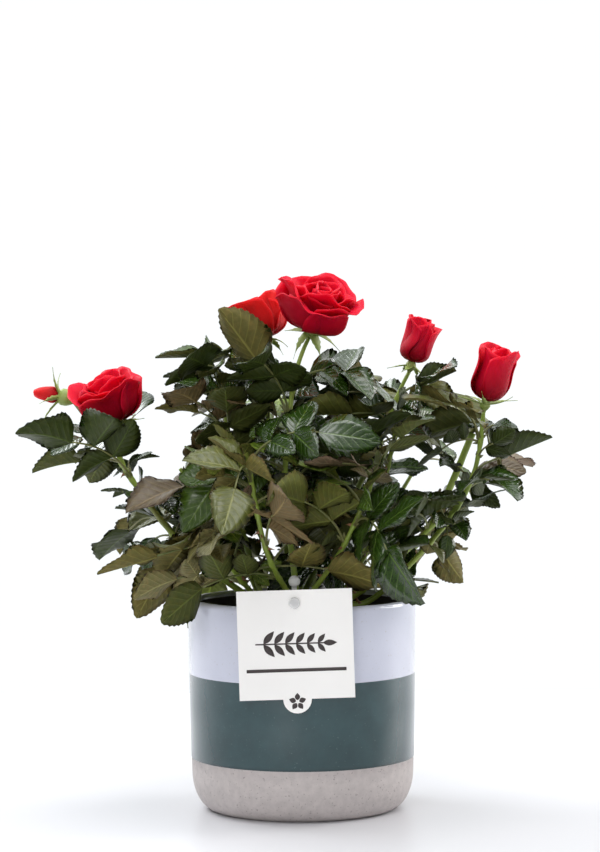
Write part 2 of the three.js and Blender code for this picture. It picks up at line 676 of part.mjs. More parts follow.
// A sepal is a narrow blade rooted deep in the hip
function sepalSolid(sepal) {
  const place = (ahead, wide, high) => sepal.root.clone().addScaledVector(sepal.forward, ahead * sepal.size)
    .addScaledVector(sepal.side, wide).addScaledVector(sepal.up, high);
  const points = [place(0, 1.4, 0.4), place(0, -1.4, 0.4), place(0, 0, -0.8), place(0.42, 2.1, 0),
      place(0.42, -2.1, 0),
    place(1, 0, 0)];
  return solidOf(points, [[0, 1, 4], [0, 4, 3], [3, 4, 5], [2, 0, 3], [2, 4, 1], [2, 3, 5], [2, 5, 4],
      [1, 0, 2]]);
}

function calyxSolid(bloom) {
  const hip = whorl(bloom.foot, bloom.axis, [[1.7, 0], [hipRadius, 3.2], [2.9, hipHeight]], 5, 0, 6);
  return joined([hip, ...bloom.sepals.map(sepalSolid)]);
}

// Pot, soil, canes, tag and pick
function latheOf(profile, sides) {
  const shape = new THREE.LatheGeometry(profile.map(([r, z]) => new THREE.Vector2(r, z)), sides);
  shape.rotateX(Math.PI / 2);
  shape.deleteAttribute('normal');
  shape.deleteAttribute('uv');
  return shape;
}

function solidOfGeometry(geometry) {
  geometry.deleteAttribute('normal');
  geometry.deleteAttribute('uv');
  const merged = mergeVertices(geometry, 1e-4);
  return new wasm.Manifold(new wasm.Mesh({
    numProp: 3,
    vertProperties: new Float32Array(merged.attributes.position.array),
    triVerts: new Uint32Array(merged.index.array),
  }));
}

const innerRim = rimRadius - wallWidth;
const innerCorner = [cornerRadius - wallWidth, cornerHeight + 8];
const lipHeight = potHeight - 3.5;
const innerFoot = footRadius - 3;

function potProfile() {
  const corner = [0.25, 0.5, 0.75].map((share) => {
    const angle = (Math.PI / 2) * share;
    return [footRadius + (cornerRadius - footRadius) * Math.sin(angle),
        cornerHeight * (1 - Math.cos(angle))];
  });
  return [[0, 0], [footRadius, 0], ...corner, [cornerRadius, cornerHeight], [rimRadius - 1.1,
      potHeight / 2],
    [rimRadius, lipHeight], [rimRadius - 0.9, potHeight - 0.8], [rimRadius - wallWidth / 2, potHeight],
    [innerRim + 0.9, potHeight - 0.8], [innerRim, lipHeight], innerCorner, [innerFoot, floorDepth], [0,
        floorDepth]];
}

function soilSolid() {
  const gap = clearance + 0.05;
  const share = (soilLevel - innerCorner[1]) / (lipHeight - innerCorner[1]);
  const topRadius = innerCorner[0] + (innerRim - innerCorner[0]) * share;
  const plug = solidOfGeometry(latheOf([[0, floorDepth + gap], [innerFoot - gap, floorDepth + gap],
    [innerCorner[0] - gap, innerCorner[1]], [topRadius - gap, soilLevel], [0, soilLevel]], potSides));
  const slot = new THREE.BoxGeometry(pickWidth + 2 * clearance, pickDepth + 2 * clearance, 60);
  slot.translate(tagCentre.x, pickReach, pickFoot - clearance + 30);
  return plug.subtract(solidOfGeometry(slot));
}

function caneGeometry([x, y]) {
  const foot = soilLevel + clearance;
  const profile = [[0, foot], [5.6, foot], [4.3, foot + 1.8], [5.1, caneLevel - 3], [5.7, caneLevel],
      [4.4, caneLevel + 3.6],
    [0, caneLevel + 5.4]];
  return latheOf(profile, 7).translate(x, y, 0);
}

function tagGeometry() {
  const [right, low] = [tagWidth / 2, -tagHeight / 2];
  const outline = new THREE.Shape();
  outline.moveTo(-right, low);
  outline.lineTo(-tabRadius, low);
  outline.absarc(0, low, tabRadius, Math.PI, 2 * Math.PI, false);
  outline.lineTo(right, low);
  outline.lineTo(right, -low);
  outline.lineTo(-right, -low);
  outline.closePath();
  const hole = new THREE.Path();
  hole.absarc(0, pegHeight - tagCentre.z, pegRadius + 0.5, 0, 2 * Math.PI, true);
  outline.holes.push(hole);
  const card = new THREE.ExtrudeGeometry(outline, { depth: tagDepth, bevelEnabled: false,
      curveSegments: 8 });
  card.rotateX(Math.PI / 2);
  card.translate(0, 0, tagCentre.z - pegHeight);
  card.rotateY(-radians(tagTiltDeg));
  return card.translate(tagCentre.x, tagCentre.y, pegHeight);
}

function pickSolid() {
  const blade = new THREE.BoxGeometry(pickWidth, pickDepth, pickLevel - pickFoot);
  blade.translate(tagCentre.x, pickReach, (pickLevel + pickFoot) / 2);
  const knob = new THREE.SphereGeometry(knobRadius, 10, 6);
  knob.rotateX(Math.PI / 2).translate(tagCentre.x, pickReach, pickLevel);
  const cardFront = tagCentre.y - tagDepth;
  const pegLength = pickReach - cardFront + clearance + 0.6;
  const peg = new THREE.CylinderGeometry(pegRadius, pegRadius, pegLength, 10);
  peg.translate(tagCentre.x, pickReach - pegLength / 2, pegHeight);
  const button = new THREE.CylinderGeometry(buttonRadius, buttonRadius, 1.3, 14);
  button.translate(tagCentre.x, cardFront - clearance - 0.65, pegHeight);
  return joined([blade, knob, peg, button].map(solidOfGeometry));
}

growBoughs();
seatBlooms();
growLeaves();

addPiece('pot', latheOf(potProfile(), potSides), '#b9bdca', 0.3);
addPiece('soil', geometryOf(soilSolid()), '#3b2a1e', 0.95);
addPiece('tag_card', tagGeometry(), '#efece6', 0.6);
addPiece('tag_pick', geometryOf(pickSolid()), '#e8ecef', 0.2);
Object.entries(canes).forEach(([name, place]) => addPiece(`cane_${name}`, caneGeometry(place),
    '#6b5a33', 0.7));

shoots.forEach((shoot) => {
  const below = shoot.stem.slice(0, shoot.bare + 1);
  addPiece(`bough_${shoot.name}`, geometryOf(limb(below, below.map((_, i) => 2 - 0.08 * i), 6)),
      '#6f8a35', 0.5);
  const above = shoot.stem.slice(shoot.bare);
  const leaving = above[1].clone().sub(above[0]).normalize();
  above[0] = above[0].clone().addScaledVector(leaving, clearance);
  const radii = above.map((_, i) => boughRadius + (tipRadius - boughRadius) * (i / (above.length - 1)));
  const pieces = [limb(above, radii, 5), ...shoot.grown.map(leafSolid)];
  if (shoot.name === 'left') {
    const twig = [stemPoint(shoot, budTwig.from), vector(budTwig.via), vector(budTwig.end)];
    pieces.push(limb(twig, [1, 0.9, 0.9], 4));
  }
  addPiece(`leaves_${shoot.name}`, geometryOf(joined(pieces)), '#33502c', 0.4);
});
addPiece('pruned_stub', geometryOf(limb(prunedStub.stem, prunedStub.stem.map(() => prunedStub.radius),
    6)), '#6f8a35', 0.5);

blooms.forEach((bloom) => {
  addPiece(`calyx_${bloom.name}`, geometryOf(calyxSolid(bloom)), '#7d9a4a', 0.5);
  addPiece(`bloom_${bloom.name}`, geometryOf(petalsSolid(bloom)), petalColour, 0.6);
});

export default group;
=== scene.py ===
from itertools import combinations
from math import copysign, cos, dist, exp, hypot, pi, radians, sin, sqrt
import bpy
import numpy as np
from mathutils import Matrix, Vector, noise


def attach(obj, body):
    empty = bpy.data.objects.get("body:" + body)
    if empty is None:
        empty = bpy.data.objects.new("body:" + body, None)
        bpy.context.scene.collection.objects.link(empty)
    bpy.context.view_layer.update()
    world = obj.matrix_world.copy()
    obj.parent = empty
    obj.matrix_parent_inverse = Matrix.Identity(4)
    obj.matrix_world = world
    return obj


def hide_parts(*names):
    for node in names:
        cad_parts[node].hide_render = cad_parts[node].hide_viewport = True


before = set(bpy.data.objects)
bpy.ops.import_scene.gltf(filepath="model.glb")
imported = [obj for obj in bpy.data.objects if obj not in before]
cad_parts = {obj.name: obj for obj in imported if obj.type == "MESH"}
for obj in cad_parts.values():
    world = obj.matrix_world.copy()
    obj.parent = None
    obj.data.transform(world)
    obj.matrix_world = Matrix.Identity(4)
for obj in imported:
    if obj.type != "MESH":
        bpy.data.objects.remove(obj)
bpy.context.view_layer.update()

mm = 0.001
up = np.array([0.0, 0.0, 1.0])
scene = bpy.context.scene


# Small helpers for points in millimetres
def point(*values):
    return np.array(values, float)


def unit(v):
    return v / sqrt(v @ v)


def cross(a, b):  # of two vectors, or of stacks with x, y and z first
    return np.array([a[1] * b[2] - a[2] * b[1], a[2] * b[0] - a[0] * b[2], a[0] * b[1] - a[1] * b[0]])


def around(one, two, angle):  # a direction between two others
    return one * cos(angle) + two * sin(angle)


def turned(v, axis, angle):  # axis is a unit vector
    return around(v, cross(axis, v), angle) + axis * (axis @ v) * (1 - cos(angle))


def mix(a, b, share):
    return a + (b - a) * share


def smooth(share):
    share = min(max(share, 0.0), 1.0)
    return share * share * (3 - 2 * share)


def dice(seed):  # the same draws on every machine
    state = seed * 7919 + 17

    def roll():
        nonlocal state
        state = (state * 1664525 + 1013904223) % 4294967296
        return state / 4294967296
    return roll


def deselectAll():
    if bpy.context.mode != 'OBJECT':
        bpy.ops.object.mode_set(mode='OBJECT')
    bpy.ops.object.select_all(action='DESELECT')


def takeUp(obj):
    deselectAll()
    obj.select_set(True)
    bpy.context.view_layer.objects.active = obj


def applyModifier(obj, name, kind, **values):
    modifier = obj.modifiers.new(name, kind)
    for key, value in values.items():
        setattr(modifier, key, value)
    bpy.ops.object.modifier_apply(modifier=name)


def startCircle(corners, radius, height=0.0):  # a filled ring with all of it selected, in edit mode
    deselectAll()
    bpy.ops.mesh.primitive_circle_add(vertices=corners, radius=radius * mm, fill_type='NGON',
                                      location=(0, 0, height * mm))
    bpy.ops.object.mode_set(mode='EDIT')
    bpy.ops.mesh.select_all(action='SELECT')
    return bpy.context.object


def finishPiece(obj, name, nodes, material=None):
    takeUp(obj)
    bpy.ops.object.transform_apply(location=True, rotation=True, scale=True)
    obj.name = name
    obj.data.name = name
    if material:
        obj.data.materials.clear()
        obj.data.materials.append(material)
    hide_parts(*nodes)
    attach(obj, "root")
    obj.select_set(False)
    return obj


# A mesh from arrays in millimetres: its corners and faces, a place on the UV map for each corner and
# a finish for each face
class Bundle:
    def __init__(self):
        self.corners, self.faces, self.places, self.finishes, self.count = [], [], [], [], 0

    def add(self, corners, faces, places=None, finish=0):
        corners = np.asarray(corners, float)
        self.corners.append(corners)
        self.places.append(np.zeros((len(corners), 2)) if places is None else np.asarray(places, float))
        base = self.count
        self.faces.extend([tuple(i + base for i in face) for face in faces])
        self.finishes.extend([finish] * len(faces) if isinstance(finish, int) else finish)
        self.count += len(corners)

    def piece(self, name, slot, nodes, materials, thickness=0.0):
        mesh = bpy.data.meshes.new(name)
        mesh.from_pydata((np.vstack(self.corners) * mm).tolist(), [], self.faces)
        for material in materials:
            mesh.materials.append(material)
        mesh.polygons.foreach_set('material_index', self.finishes)
        mesh.polygons.foreach_set('use_smooth', [True] * len(self.faces))
        layer = mesh.uv_layers.new(name='UVMap')
        corner = np.zeros(len(mesh.loops), int)
        mesh.loops.foreach_get('vertex_index', corner)
        layer.data.foreach_set('uv', np.vstack(self.places)[corner].ravel())
        mesh.validate()
        mesh.update()
        obj = bpy.data.objects.new(name, mesh)
        scene.collection.objects.link(obj)
        if thickness:
            takeUp(obj)
            applyModifier(obj, 'wall', 'SOLIDIFY', thickness=thickness * mm, offset=0.0)
        return finishPiece(obj, name, nodes)


class Value:  # a socket to reckon with
    def __init__(self, nodes, socket):
        self.nodes, self.socket = nodes, socket

    def __add__(self, other):
        return self.nodes.math('ADD', self, other)

    def __sub__(self, other):
        return self.nodes.math('SUBTRACT', self, other)

    def __rsub__(self, other):
        return self.nodes.math('SUBTRACT', other, self)

    def __mul__(self, other):
        return self.nodes.math('MULTIPLY', self, other)

    def clamp(self):
        self.socket.node.use_clamp = True
        return self


class Nodes:
    def __init__(self, tree):
        self.tree = tree

    def put(self, socket, value):
        if isinstance(value, Value):
            self.tree.links.new(value.socket, socket)
        else:
            socket.default_value = value

    def node(self, kind, output=0, **values):  # values are the node's own or its sockets'
        node = self.tree.nodes.new(kind)
        for key, value in values.items():
            if hasattr(node, key):
                setattr(node, key, value)
            else:
                self.put(node.inputs[key.replace('_', ' ')], value)
        return Value(self, node.outputs[output])

    def math(self, operation, *values):
        result = self.node('ShaderNodeMath', operation=operation)
        for socket, value in zip(result.socket.node.inputs, values):
            self.put(socket, value)
        return result

    def mix(self, share, one, two):
        result = self.node('ShaderNodeMix', 2, data_type='RGBA')
        for number, value in ((0, share), (6, one), (7, two)):
            self.put(result.socket.node.inputs[number], (*value, 1) if isinstance(value, tuple) else value)
        return result

    def noise(self, scale, detail=3.0, rough=0.5):
        place = self.node('ShaderNodeTexCoord', 'Object')
        return self.node('ShaderNodeTexNoise', 'Fac', Vector=place, Scale=scale, Detail=detail, Roughness=rough)

    def xyz(self, vector):
        node = self.node('ShaderNodeSeparateXYZ', Vector=vector).socket.node
        return [Value(self, output) for output in node.outputs]


class Paint(Nodes):  # a material and its nodes
    def __init__(self, name, base, rough, **values):
        self.material = bpy.data.materials.new(name)
        self.material.use_nodes = True
        super().__init__(self.material.node_tree)
        self.shader = self.tree.nodes['Principled BSDF']
        for key, value in dict(Base_Color=(*base, 1), Roughness=rough, **values).items():
            self.put(self.shader.inputs[key.replace('_', ' ')], value)
        self.material.diffuse_color = (*base, 1)

    def tint(self, colour):
        self.put(self.shader.inputs['Base Color'], colour)

    def mottle(self, one, two, scale, detail=3.0, rough=0.5):
        self.tint(self.mix(self.noise(scale, detail, rough), one, two))

    def bump(self, height, depth, strength):
        relief = self.node('ShaderNodeBump', 'Normal', Height=height, Strength=strength, Distance=depth * mm)
        self.put(self.shader.inputs['Normal'], relief)


# Camera and light, in metres and degrees, the lens in millimetres
view = {'distance': 1.553, 'height': 0.2717, 'yaw': -0.077, 'pitch': -1.645, 'roll': 0.45, 'lens': 110.3}


def setCamera():
    data = bpy.data.cameras.new('camera')
    data.lens, data.sensor_width, data.clip_start = view['lens'], 36, 0.05
    camera = bpy.data.objects.new('camera', data)
    camera.location = (0, -view['distance'], view['height'])
    camera.rotation_mode = 'ZXY'
    camera.rotation_euler = (radians(90 + view['pitch']), radians(view['roll']), -radians(view['yaw']))
    scene.collection.objects.link(camera)
    scene.camera = camera


studio = {
    'sky': (0.955, 0.985, 1.0), 'skyStrength': 1.05, 'room': (0.17, 0.175, 0.18),
    'floor': (0.6, 0.595, 0.62), 'floorLight': (0.64, 0.635, 0.66),
    'floorWide': 4.0, 'floorNear': -1.45, 'floorFar': 0.52,
    'lamps': {  # place, aim, size, power, colour
        'window': ((-1.2, 1.0, 1.6), (0, 0, 0.18), 1.2, 36, (0.95, 0.98, 1.0)),
        'ceiling': ((0.2, -0.3, 2.0), (0, 0, 0.15), 1.5, 20, (1.0, 1.0, 1.0)),
        'rightWindow': ((1.5, 0.6, 0.9), (0, 0, 0.18), 1.0, 18, (1.0, 0.98, 0.95)),
        'front': ((-0.5, -1.7, 0.9), (0, 0, 0.17), 1.0, 9.5, (1.0, 0.99, 0.97)),
    },
}


def setSky():  # bright behind the plant and above it, a dim room on the near side
    scene.world = bpy.data.worlds.new('world')
    scene.world.use_nodes = True
    sky = Nodes(scene.world.node_tree)
    _, away, high = sky.xyz(sky.node('ShaderNodeTexCoord', 'Generated'))
    rises = ((away, -0.35, 0.4, 1.0), (high, 0.2, 0.85, 0.8))  # direction, from, to, brightest
    shares = [sky.node('ShaderNodeMapRange', interpolation_type='SMOOTHSTEP', Value=value, From_Min=low,
                       From_Max=top, To_Max=reach) for value, low, top, reach in rises]
    back = sky.tree.nodes['Background'].inputs
    back['Strength'].default_value = studio['skyStrength']
    sky.put(back['Color'], sky.mix(sky.math('MAXIMUM', *shares), studio['room'], studio['sky']))


def setStudio():
    scene.view_settings.view_transform = 'Standard'
    setSky()
    for name, (place, aim, size, power, colour) in studio['lamps'].items():
        data = bpy.data.lights.new(name, 'AREA')
        data.shape, data.size, data.energy, data.color = 'DISK', size, power, colour
        lamp = bpy.data.objects.new(name, data)
        lamp.location = place
        lamp.rotation_euler = (Vector(aim) - Vector(place)).to_track_quat('-Z', 'Y').to_euler()
        scene.collection.objects.link(lamp)
    deselectAll()
    near, far = studio['floorNear'], studio['floorFar']
    bpy.ops.mesh.primitive_plane_add(size=1, location=(0, (near + far) / 2, 0))
    floor = bpy.context.object
    floor.scale = (studio['floorWide'], far - near, 1)
    bpy.ops.object.transform_apply(location=True, scale=True)
    floor.name = 'floor'
    table = Paint('paleTable', studio['floor'], 0.35)
    table.mottle(studio['floor'], studio['floorLight'], 3.0)
    floor.data.materials.append(table.material)


setCamera()
setStudio()
print('camera, light and table set')

# The plant's plan, in millimetres: canes, shoots and blooms as the frame has them
soilLevel, caneLevel, knuckleRadius, clearance = 112, 119.5, 6, 0.3
caneRadius, boughRadius, tipRadius, stalkRadius = 5.7, 1.7, 1.15, 0.95
canes = {'left': (-22, -10), 'front': (-2, -24), 'right': (22, -6), 'back': (-2, 22), 'far': (24, 28)}
shootPlan = {  # cane, points on the way, bare steps below the leaves, leaves, turn, seed, bloom on top
    'left': ('left', [(-62, -18, 150), (-84, -20, 175), (-105, -21, 206), (-113, -20, 225)],
             4, 6, 150, 133, True),
    'upper_left': ('left', [(-38, -1, 180), (-46, 6, 248)], 3, 7, 120, 15, False),
    'low_left': ('left', [(-38, -34, 142), (-55, -46, 166)], 4, 7, 200, 704, False),
    'left_back': ('left', [(-42, 30, 158), (-74, 46, 200)], 3, 7, 140, 53, False),
    'centre': ('front', [(-5.5, -27, 153), (-9.8, -26, 190), (-4.6, -12, 249), (2, -8, 279)],
               2, 8, 250, 5, True),
    'front': ('front', [(-20, -50, 156), (-30, -62, 205)], 3, 7, 230, 391, False),
    'front_right': ('front', [(24, -46, 158), (42, -60, 200)], 3, 7, 300, 202, False),
    'right': ('right', [(44, -9, 126), (81, -14, 164), (102, -15, 199), (107, -15, 238)],
              5, 6, 350, 528, True),
    'mid_right': ('right', [(44, 2, 175), (58, -4, 228)], 3, 8, 30, 369, False),
    'low_right': ('right', [(46, -32, 140), (80, -42, 174)], 3, 7, 310, 255, False),
    'second': ('back', [(-14, 18, 180), (-24, 22, 274)], 2, 8, 100, 299, True),
    'right_back': ('back', [(22, 34, 165), (48, 38, 215), (62, 36, 257)], 2, 8, 60, 711, True),
    'back_left': ('back', [(-26, 50, 160), (-48, 80, 212)], 3, 7, 110, 90, False),
    'back': ('back', [(4, 60, 155), (10, 98, 206)], 3, 7, 90, 647, False),
    'far_right': ('far', [(42, 46, 152), (70, 74, 196)], 3, 7, 45, 15, False),
    'far_low': ('far', [(54, 26, 140), (98, 44, 180)], 4, 7, 20, 320, False),
}
stubPlan = ('right', [(50, 16, 140), (77, 10, 165), (103, 9, 222)], 2.2)
bloomPlan = {  # shoot, axis, form, radius, height, sepal rise, sepal length
    'main': ('centre', (0.22, -0.5, 0.84), 'open', 26.5, 27, -15, 19),
    'second': ('second', (-0.12, 0.28, 0.95), 'open', 23, 27, -5, 17),
    'left': ('left', (-0.28, -0.16, 0.95), 'half', 21.5, 36, 5, 17),
    'bud': ('left', (-0.97, 0, 0.16), 'bud', 5, 17, 40, 20),
    'goblet': ('right_back', (0.28, 0.04, 0.95), 'goblet', 12.5, 30, -20, 15),
    'right': ('right', (0.16, -0.1, 0.98), 'goblet', 14.5, 33, 10, 24),
}
budTwig = {'from': 0.84, 'via': (-121, -4, 225), 'end': (-134, 3, 240.5)}
hipHeight, hipRadius = 6, 3.4
shownPlan = [  # shoot, at, turn, rise, droop, roll, pitch, size, pairs, petiole, finish
    ('left', 0.82, 181, 30, 20, -50, 12, 42, 0, 0.26, 'dark'),
    ('left', 0.6, 184, 15, 60, -20, 22, 34, 1, 0.2, 'dark'),
    ('left', 0.76, 170, 15, 30, 25, 0, 30, 1, 0.2, 'dark'),
    ('left', 0.8, 345, 30, 40, 30, 10, 24, 0, 0.2, 'glossy'),
    ('centre', 0.68, 180, 62, 6, 60, 12, 40, 0, 0.45, 'olive'),
    ('centre', 0.55, 215, 30, 80, -30, 20, 36, 2, 0.28, 'mid'),
    ('upper_left', 0.98, 176, 45, 30, -30, 15, 26, 0, 0.15, 'dark'),
    ('upper_left', 0.8, 186, 40, 30, 25, 10, 26, 0, 0.4, 'olive'),
    ('low_left', 0.8, 188, 5, 30, 30, 0, 36, 1, 0.28, 'olive'),
    ('right', 0.74, 0, 45, 50, -30, -5, 33, 0, 0.3, 'glossy'),
    ('right', 0.9, 15, 10, 30, -40, 10, 32, 0, 0.1, 'dark'),
    ('right', 0.93, 168, 5, 20, 40, 10, 32, 0, 0.1, 'dark'),
    ('right_back', 0.85, 195, 25, 40, 20, 0, 32, 1, 0.28, 'glossy'),
]
leafPlan = {'turn': 137.5, 'size': 34, 'width': 0.72, 'guard': 1.2, 'tries': 14, 'depth': 142,
            'petiole': 0.28, 'pair': 0.42, 'pairTurn': 66,
            'pairDrop': 0.12, 'pairSizes': (0.7, 0.86)}
eyeDistance, eyeHeight = 1553, 271.7
# Ellipses as the camera sees them, by middle and half size: rooms for the leaves, and gaps kept clear
rooms = [(1, 196, 85, 78), (-124, 219, 50, 28), (-100, 157, 54, 39), (-76, 124, 34, 25), (105, 219, 51, 39),
         (69, 159, 39, 39), (-38, 281, 25, 29), (-80, 240, 18, 12), (-60, 262, 27, 16), (63, 263, 30, 15)]
gaps = [(-73, 223, 5, 12), (-79, 205, 11, 6), (-88, 233, 11, 4), (62, 209, 12, 3), (72, 193, 13, 5),
        (100, 211, 6, 7), (86, 196, 7, 5), (-26, 162, 5, 8), (-88, 167, 6, 5), (-120, 176, 7, 3)]
stemSteps = 12
# A leaflet's outline and middle, in shares of its length, its width and its length again for the lift
leafletRing = np.array([[0, 0, 0], [0.28, -0.46, 0.03], [0.68, -0.42, 0.02], [1, 0, -0.1],
                        [0.68, 0.42, 0.02], [0.28, 0.46, 0.03]])
leafletMiddle = np.array([[0.45, 0, -0.03]])


def pointOn(path, share):  # on a smooth curve through the points
    last = len(path) - 1
    at = min(max(share, 0) * last, last - 1e-9)
    i = int(at)
    u = at - i
    a, b, c, d = path[max(i - 1, 0)], path[i], path[i + 1], path[min(i + 2, last)]
    return 0.5 * (2 * b + (c - a) * u + (2 * a - 5 * b + 4 * c - d) * u * u
                  + (3 * b - a - 3 * c + d) * u * u * u)


def stemOf(cane, via):
    knuckle = point(*canes[cane], caneLevel)
    leaving = unit(point(*via[0]) - knuckle)
    path = [knuckle + leaving * (knuckleRadius + clearance)] + [point(*place) for place in via]
    return [pointOn(path, i / stemSteps) for i in range(stemSteps + 1)]


def stemPoint(stem, share):
    at = share * stemSteps
    i = min(int(at), stemSteps - 1)
    return mix(stem[i], stem[i + 1], at - i)


class Leaflet:
    def __init__(self, root, forward, upward, size):
        self.root, self.forward, self.size = root, forward, size
        self.side = unit(cross(upward, forward))
        self.up = unit(cross(forward, self.side))

    def place(self, shares):
        frameRows = np.array([self.forward, self.side * leafPlan['width'], self.up]) * self.size
        return self.root + shares @ frameRows


class Leaf:
    def __init__(self, root, turn, rise, droop, roll, pitch, size, pairCount, petiole=leafPlan['petiole']):
        outward = around(point(1, 0, 0), point(0, 1, 0), radians(turn))
        steps = [petiole, petiole] + [leafPlan['pair']] * pairCount
        self.stalk, self.pairs, self.end, self.size = [root], [], None, size
        for i, share in enumerate(steps):
            slope = radians(rise - droop * i / len(steps))
            forward = around(outward, up, slope)
            place = self.stalk[i] + forward * share * size
            upward = turned(around(up, -outward, slope), forward, radians(roll))
            leaflet = Leaflet(place, forward, upward, size)
            self.stalk.append(place)
            if i == len(steps) - 1:
                self.end = Leaflet(place, turned(forward, leaflet.side, radians(pitch)), upward, size)
            elif i:
                pair = []
                for hand in (-1, 1):
                    aside = turned(forward, leaflet.up, radians(leafPlan['pairTurn']) * hand)
                    aside = unit(aside - leafPlan['pairDrop'] * leaflet.up)
                    share = leafPlan['pairSizes'][i == pairCount]
                    pair.append(Leaflet(place, aside, leaflet.up, size * share))
                self.pairs.append(pair)

    def leaflets(self):
        return [self.end] + [leaflet for pair in self.pairs for leaflet in pair if leaflet is not None]


# Guards show whether two things would touch: lines of one through triangles of the other
class Guard:
    def __init__(self, lines, triangles, centre, reach, ring, owner=None):
        lines = np.array(lines)
        triangles = np.array(triangles)
        self.start, self.along = lines[:, 0], lines[:, 1] - lines[:, 0]
        self.a = triangles[:, 0]
        self.ab, self.ac = triangles[:, 1] - self.a, triangles[:, 2] - self.a
        self.centre, self.reach, self.ring, self.owner = centre, reach, ring, owner


def leafletGuard(leaflet, lift=leafPlan['guard']):
    ring = leaflet.place(leafletRing)
    middle = leaflet.place(leafletMiddle)[0]
    rise = leaflet.up * lift
    lines = [(p - rise, p + rise) for p in (*ring, middle)]
    triangles = []
    for i, p in enumerate(ring):
        q = ring[(i + 1) % 6]
        lines += [(p - rise, q - rise), (p + rise, q + rise)]
        triangles.append((middle, p, q))
    lines += [(ring[0], middle), (middle, ring[3])]
    return Guard(lines, triangles, middle, leaflet.size * 0.62 + lift, ring)


def crossWays(along):
    level = point(1, 0, 0) if abs(along[2]) > 0.9 else up
    side = unit(cross(along, level))
    return side, cross(along, side)


def limbGuard(a, b, radius, owner=None):
    lines, triangles = [(a, b)], []
    for way in crossWays(unit(b - a)):
        near, wide = radius + 0.5, (radius + 0.4) * sqrt(2)
        lines += [(a + way * near, b + way * near), (a - way * near, b - way * near)]
        triangles.append((a + way * wide, a - way * wide, b + way * wide))
        triangles.append((b - way * wide, a - way * wide, b + way * wide))
    length = sqrt((b - a) @ (b - a))
    return Guard(lines, triangles, (a + b) / 2, length / 2 + 2 * radius + 1, np.array([a, b]), owner)


def crossesAny(start, along, a, ab, ac):
    start, along = start.T[..., None], along.T[..., None]
    a, ab, ac = a.T[:, None], ab.T[:, None], ac.T[:, None]
    p = cross(along, ac)
    scale = (ab * p).sum(0)
    safe = np.where(abs(scale) < 1e-9, 1.0, scale)
    away = start - a
    q = cross(away, ab)
    u, v, t = (away * p).sum(0) / safe, (along * q).sum(0) / safe, (ac * q).sum(0) / safe
    inside = (u >= 0) & (u <= 1) & (v >= 0) & (u + v <= 1) & (t >= 0) & (t <= 1)
    return bool(((abs(scale) >= 1e-9) & inside).any())


class Standing:  # all that stands already
    def __init__(self, most=9000):
        self.guards, self.centres, self.reaches = [], np.zeros((most, 3)), np.zeros(most)

    def add(self, guard):
        self.centres[len(self.guards)] = guard.centre
        self.reaches[len(self.guards)] = guard.reach
        self.guards.append(guard)

    def touches(self, guard, mate=None):
        n = len(self.guards)
        away = self.centres[:n] - guard.centre
        near = np.nonzero((away * away).sum(1) <= (self.reaches[:n] + guard.reach) ** 2)[0]
        others = [self.guards[i] for i in near if not (mate and self.guards[i].owner == mate)]
        if not others:
            return False
        keys = ('start', 'along', 'a', 'ab', 'ac')
        start, along, *triangles = [np.concatenate([getattr(o, key) for o in others]) for key in keys]
        if crossesAny(guard.start, guard.along, *triangles):
            return True
        return crossesAny(start, along, guard.a, guard.ab, guard.ac)


standing = Standing()
shoots = {}
blooms = {}


class Shoot:
    def __init__(self, name, cane, via, bare, leaves, turn, seed, bloom):
        self.name, self.bare, self.leaves, self.turn, self.bloom = name, bare, leaves, turn, bloom
        self.stem, self.grown, self.roll = stemOf(cane, via), [], dice(seed)


class Bloom:
    def __init__(self, name, shoot, axis, form, radius, height, sepalRise, sepal):
        self.name, self.form, self.radius, self.height = name, form, radius, height
        self.axis = unit(point(*axis))
        self.side, self.across = crossWays(self.axis)
        tip = point(*budTwig['end']) if form == 'bud' else shoots[shoot].stem[-1]
        self.foot = tip + self.axis * (0.6 + clearance)
        self.petalFoot = self.foot + self.axis * (hipHeight + clearance)
        self.sepals = []
        for k in range(5):
            outward = around(self.side, self.across, 2 * pi * k / 5 + 0.5)
            forward = around(outward, self.axis, radians(sepalRise))
            root = self.foot + self.axis * 0.62 * hipHeight + outward * 0.8
            self.sepals.append(Leaflet(root, forward, self.axis, sepal))


def growBoughs():
    for x, y in canes.values():
        standing.add(limbGuard(point(x, y, soilLevel), point(x, y, caneLevel + 4), caneRadius))
    for name, plan in shootPlan.items():
        shoots[name] = Shoot(name, *plan)
    stubStem = stemOf(*stubPlan[:2])
    limbs = [(s.stem, boughRadius, s.name) for s in shoots.values()] + [(stubStem, stubPlan[2], 'stub')]
    for stem, radius, owner in limbs:
        for a, b in zip(stem, stem[1:]):
            standing.add(limbGuard(a, b, radius, owner))
    return stubStem


def seatBlooms():
    for name, plan in bloomPlan.items():
        bloom = blooms[name] = Bloom(name, *plan)
        standing.add(limbGuard(bloom.foot, bloom.petalFoot, hipRadius))
        for sepal in bloom.sepals:
            standing.add(limbGuard(sepal.root, sepal.root + sepal.forward * sepal.size, 1.8))
    twig = [stemPoint(shoots['left'].stem, budTwig['from']), point(*budTwig['via']), point(*budTwig['end'])]
    standing.add(limbGuard(twig[0], twig[1], 1))
    standing.add(limbGuard(twig[1], twig[2], 1))
    return twig


def inEllipses(ellipses, across, height):
    return any(((across - x) / w) ** 2 + ((height - z) / h) ** 2 < 1 for x, z, w, h in ellipses)


def inBloom(p, bloom):
    away = p - bloom.petalFoot
    along = away @ bloom.axis
    if not -3 < along < bloom.height + 3:
        return False
    wide = sqrt(max(away @ away - along * along, 0))
    return wide < bloom.radius * min(1.1, 0.4 + 1.3 * (along / bloom.height)) + 3


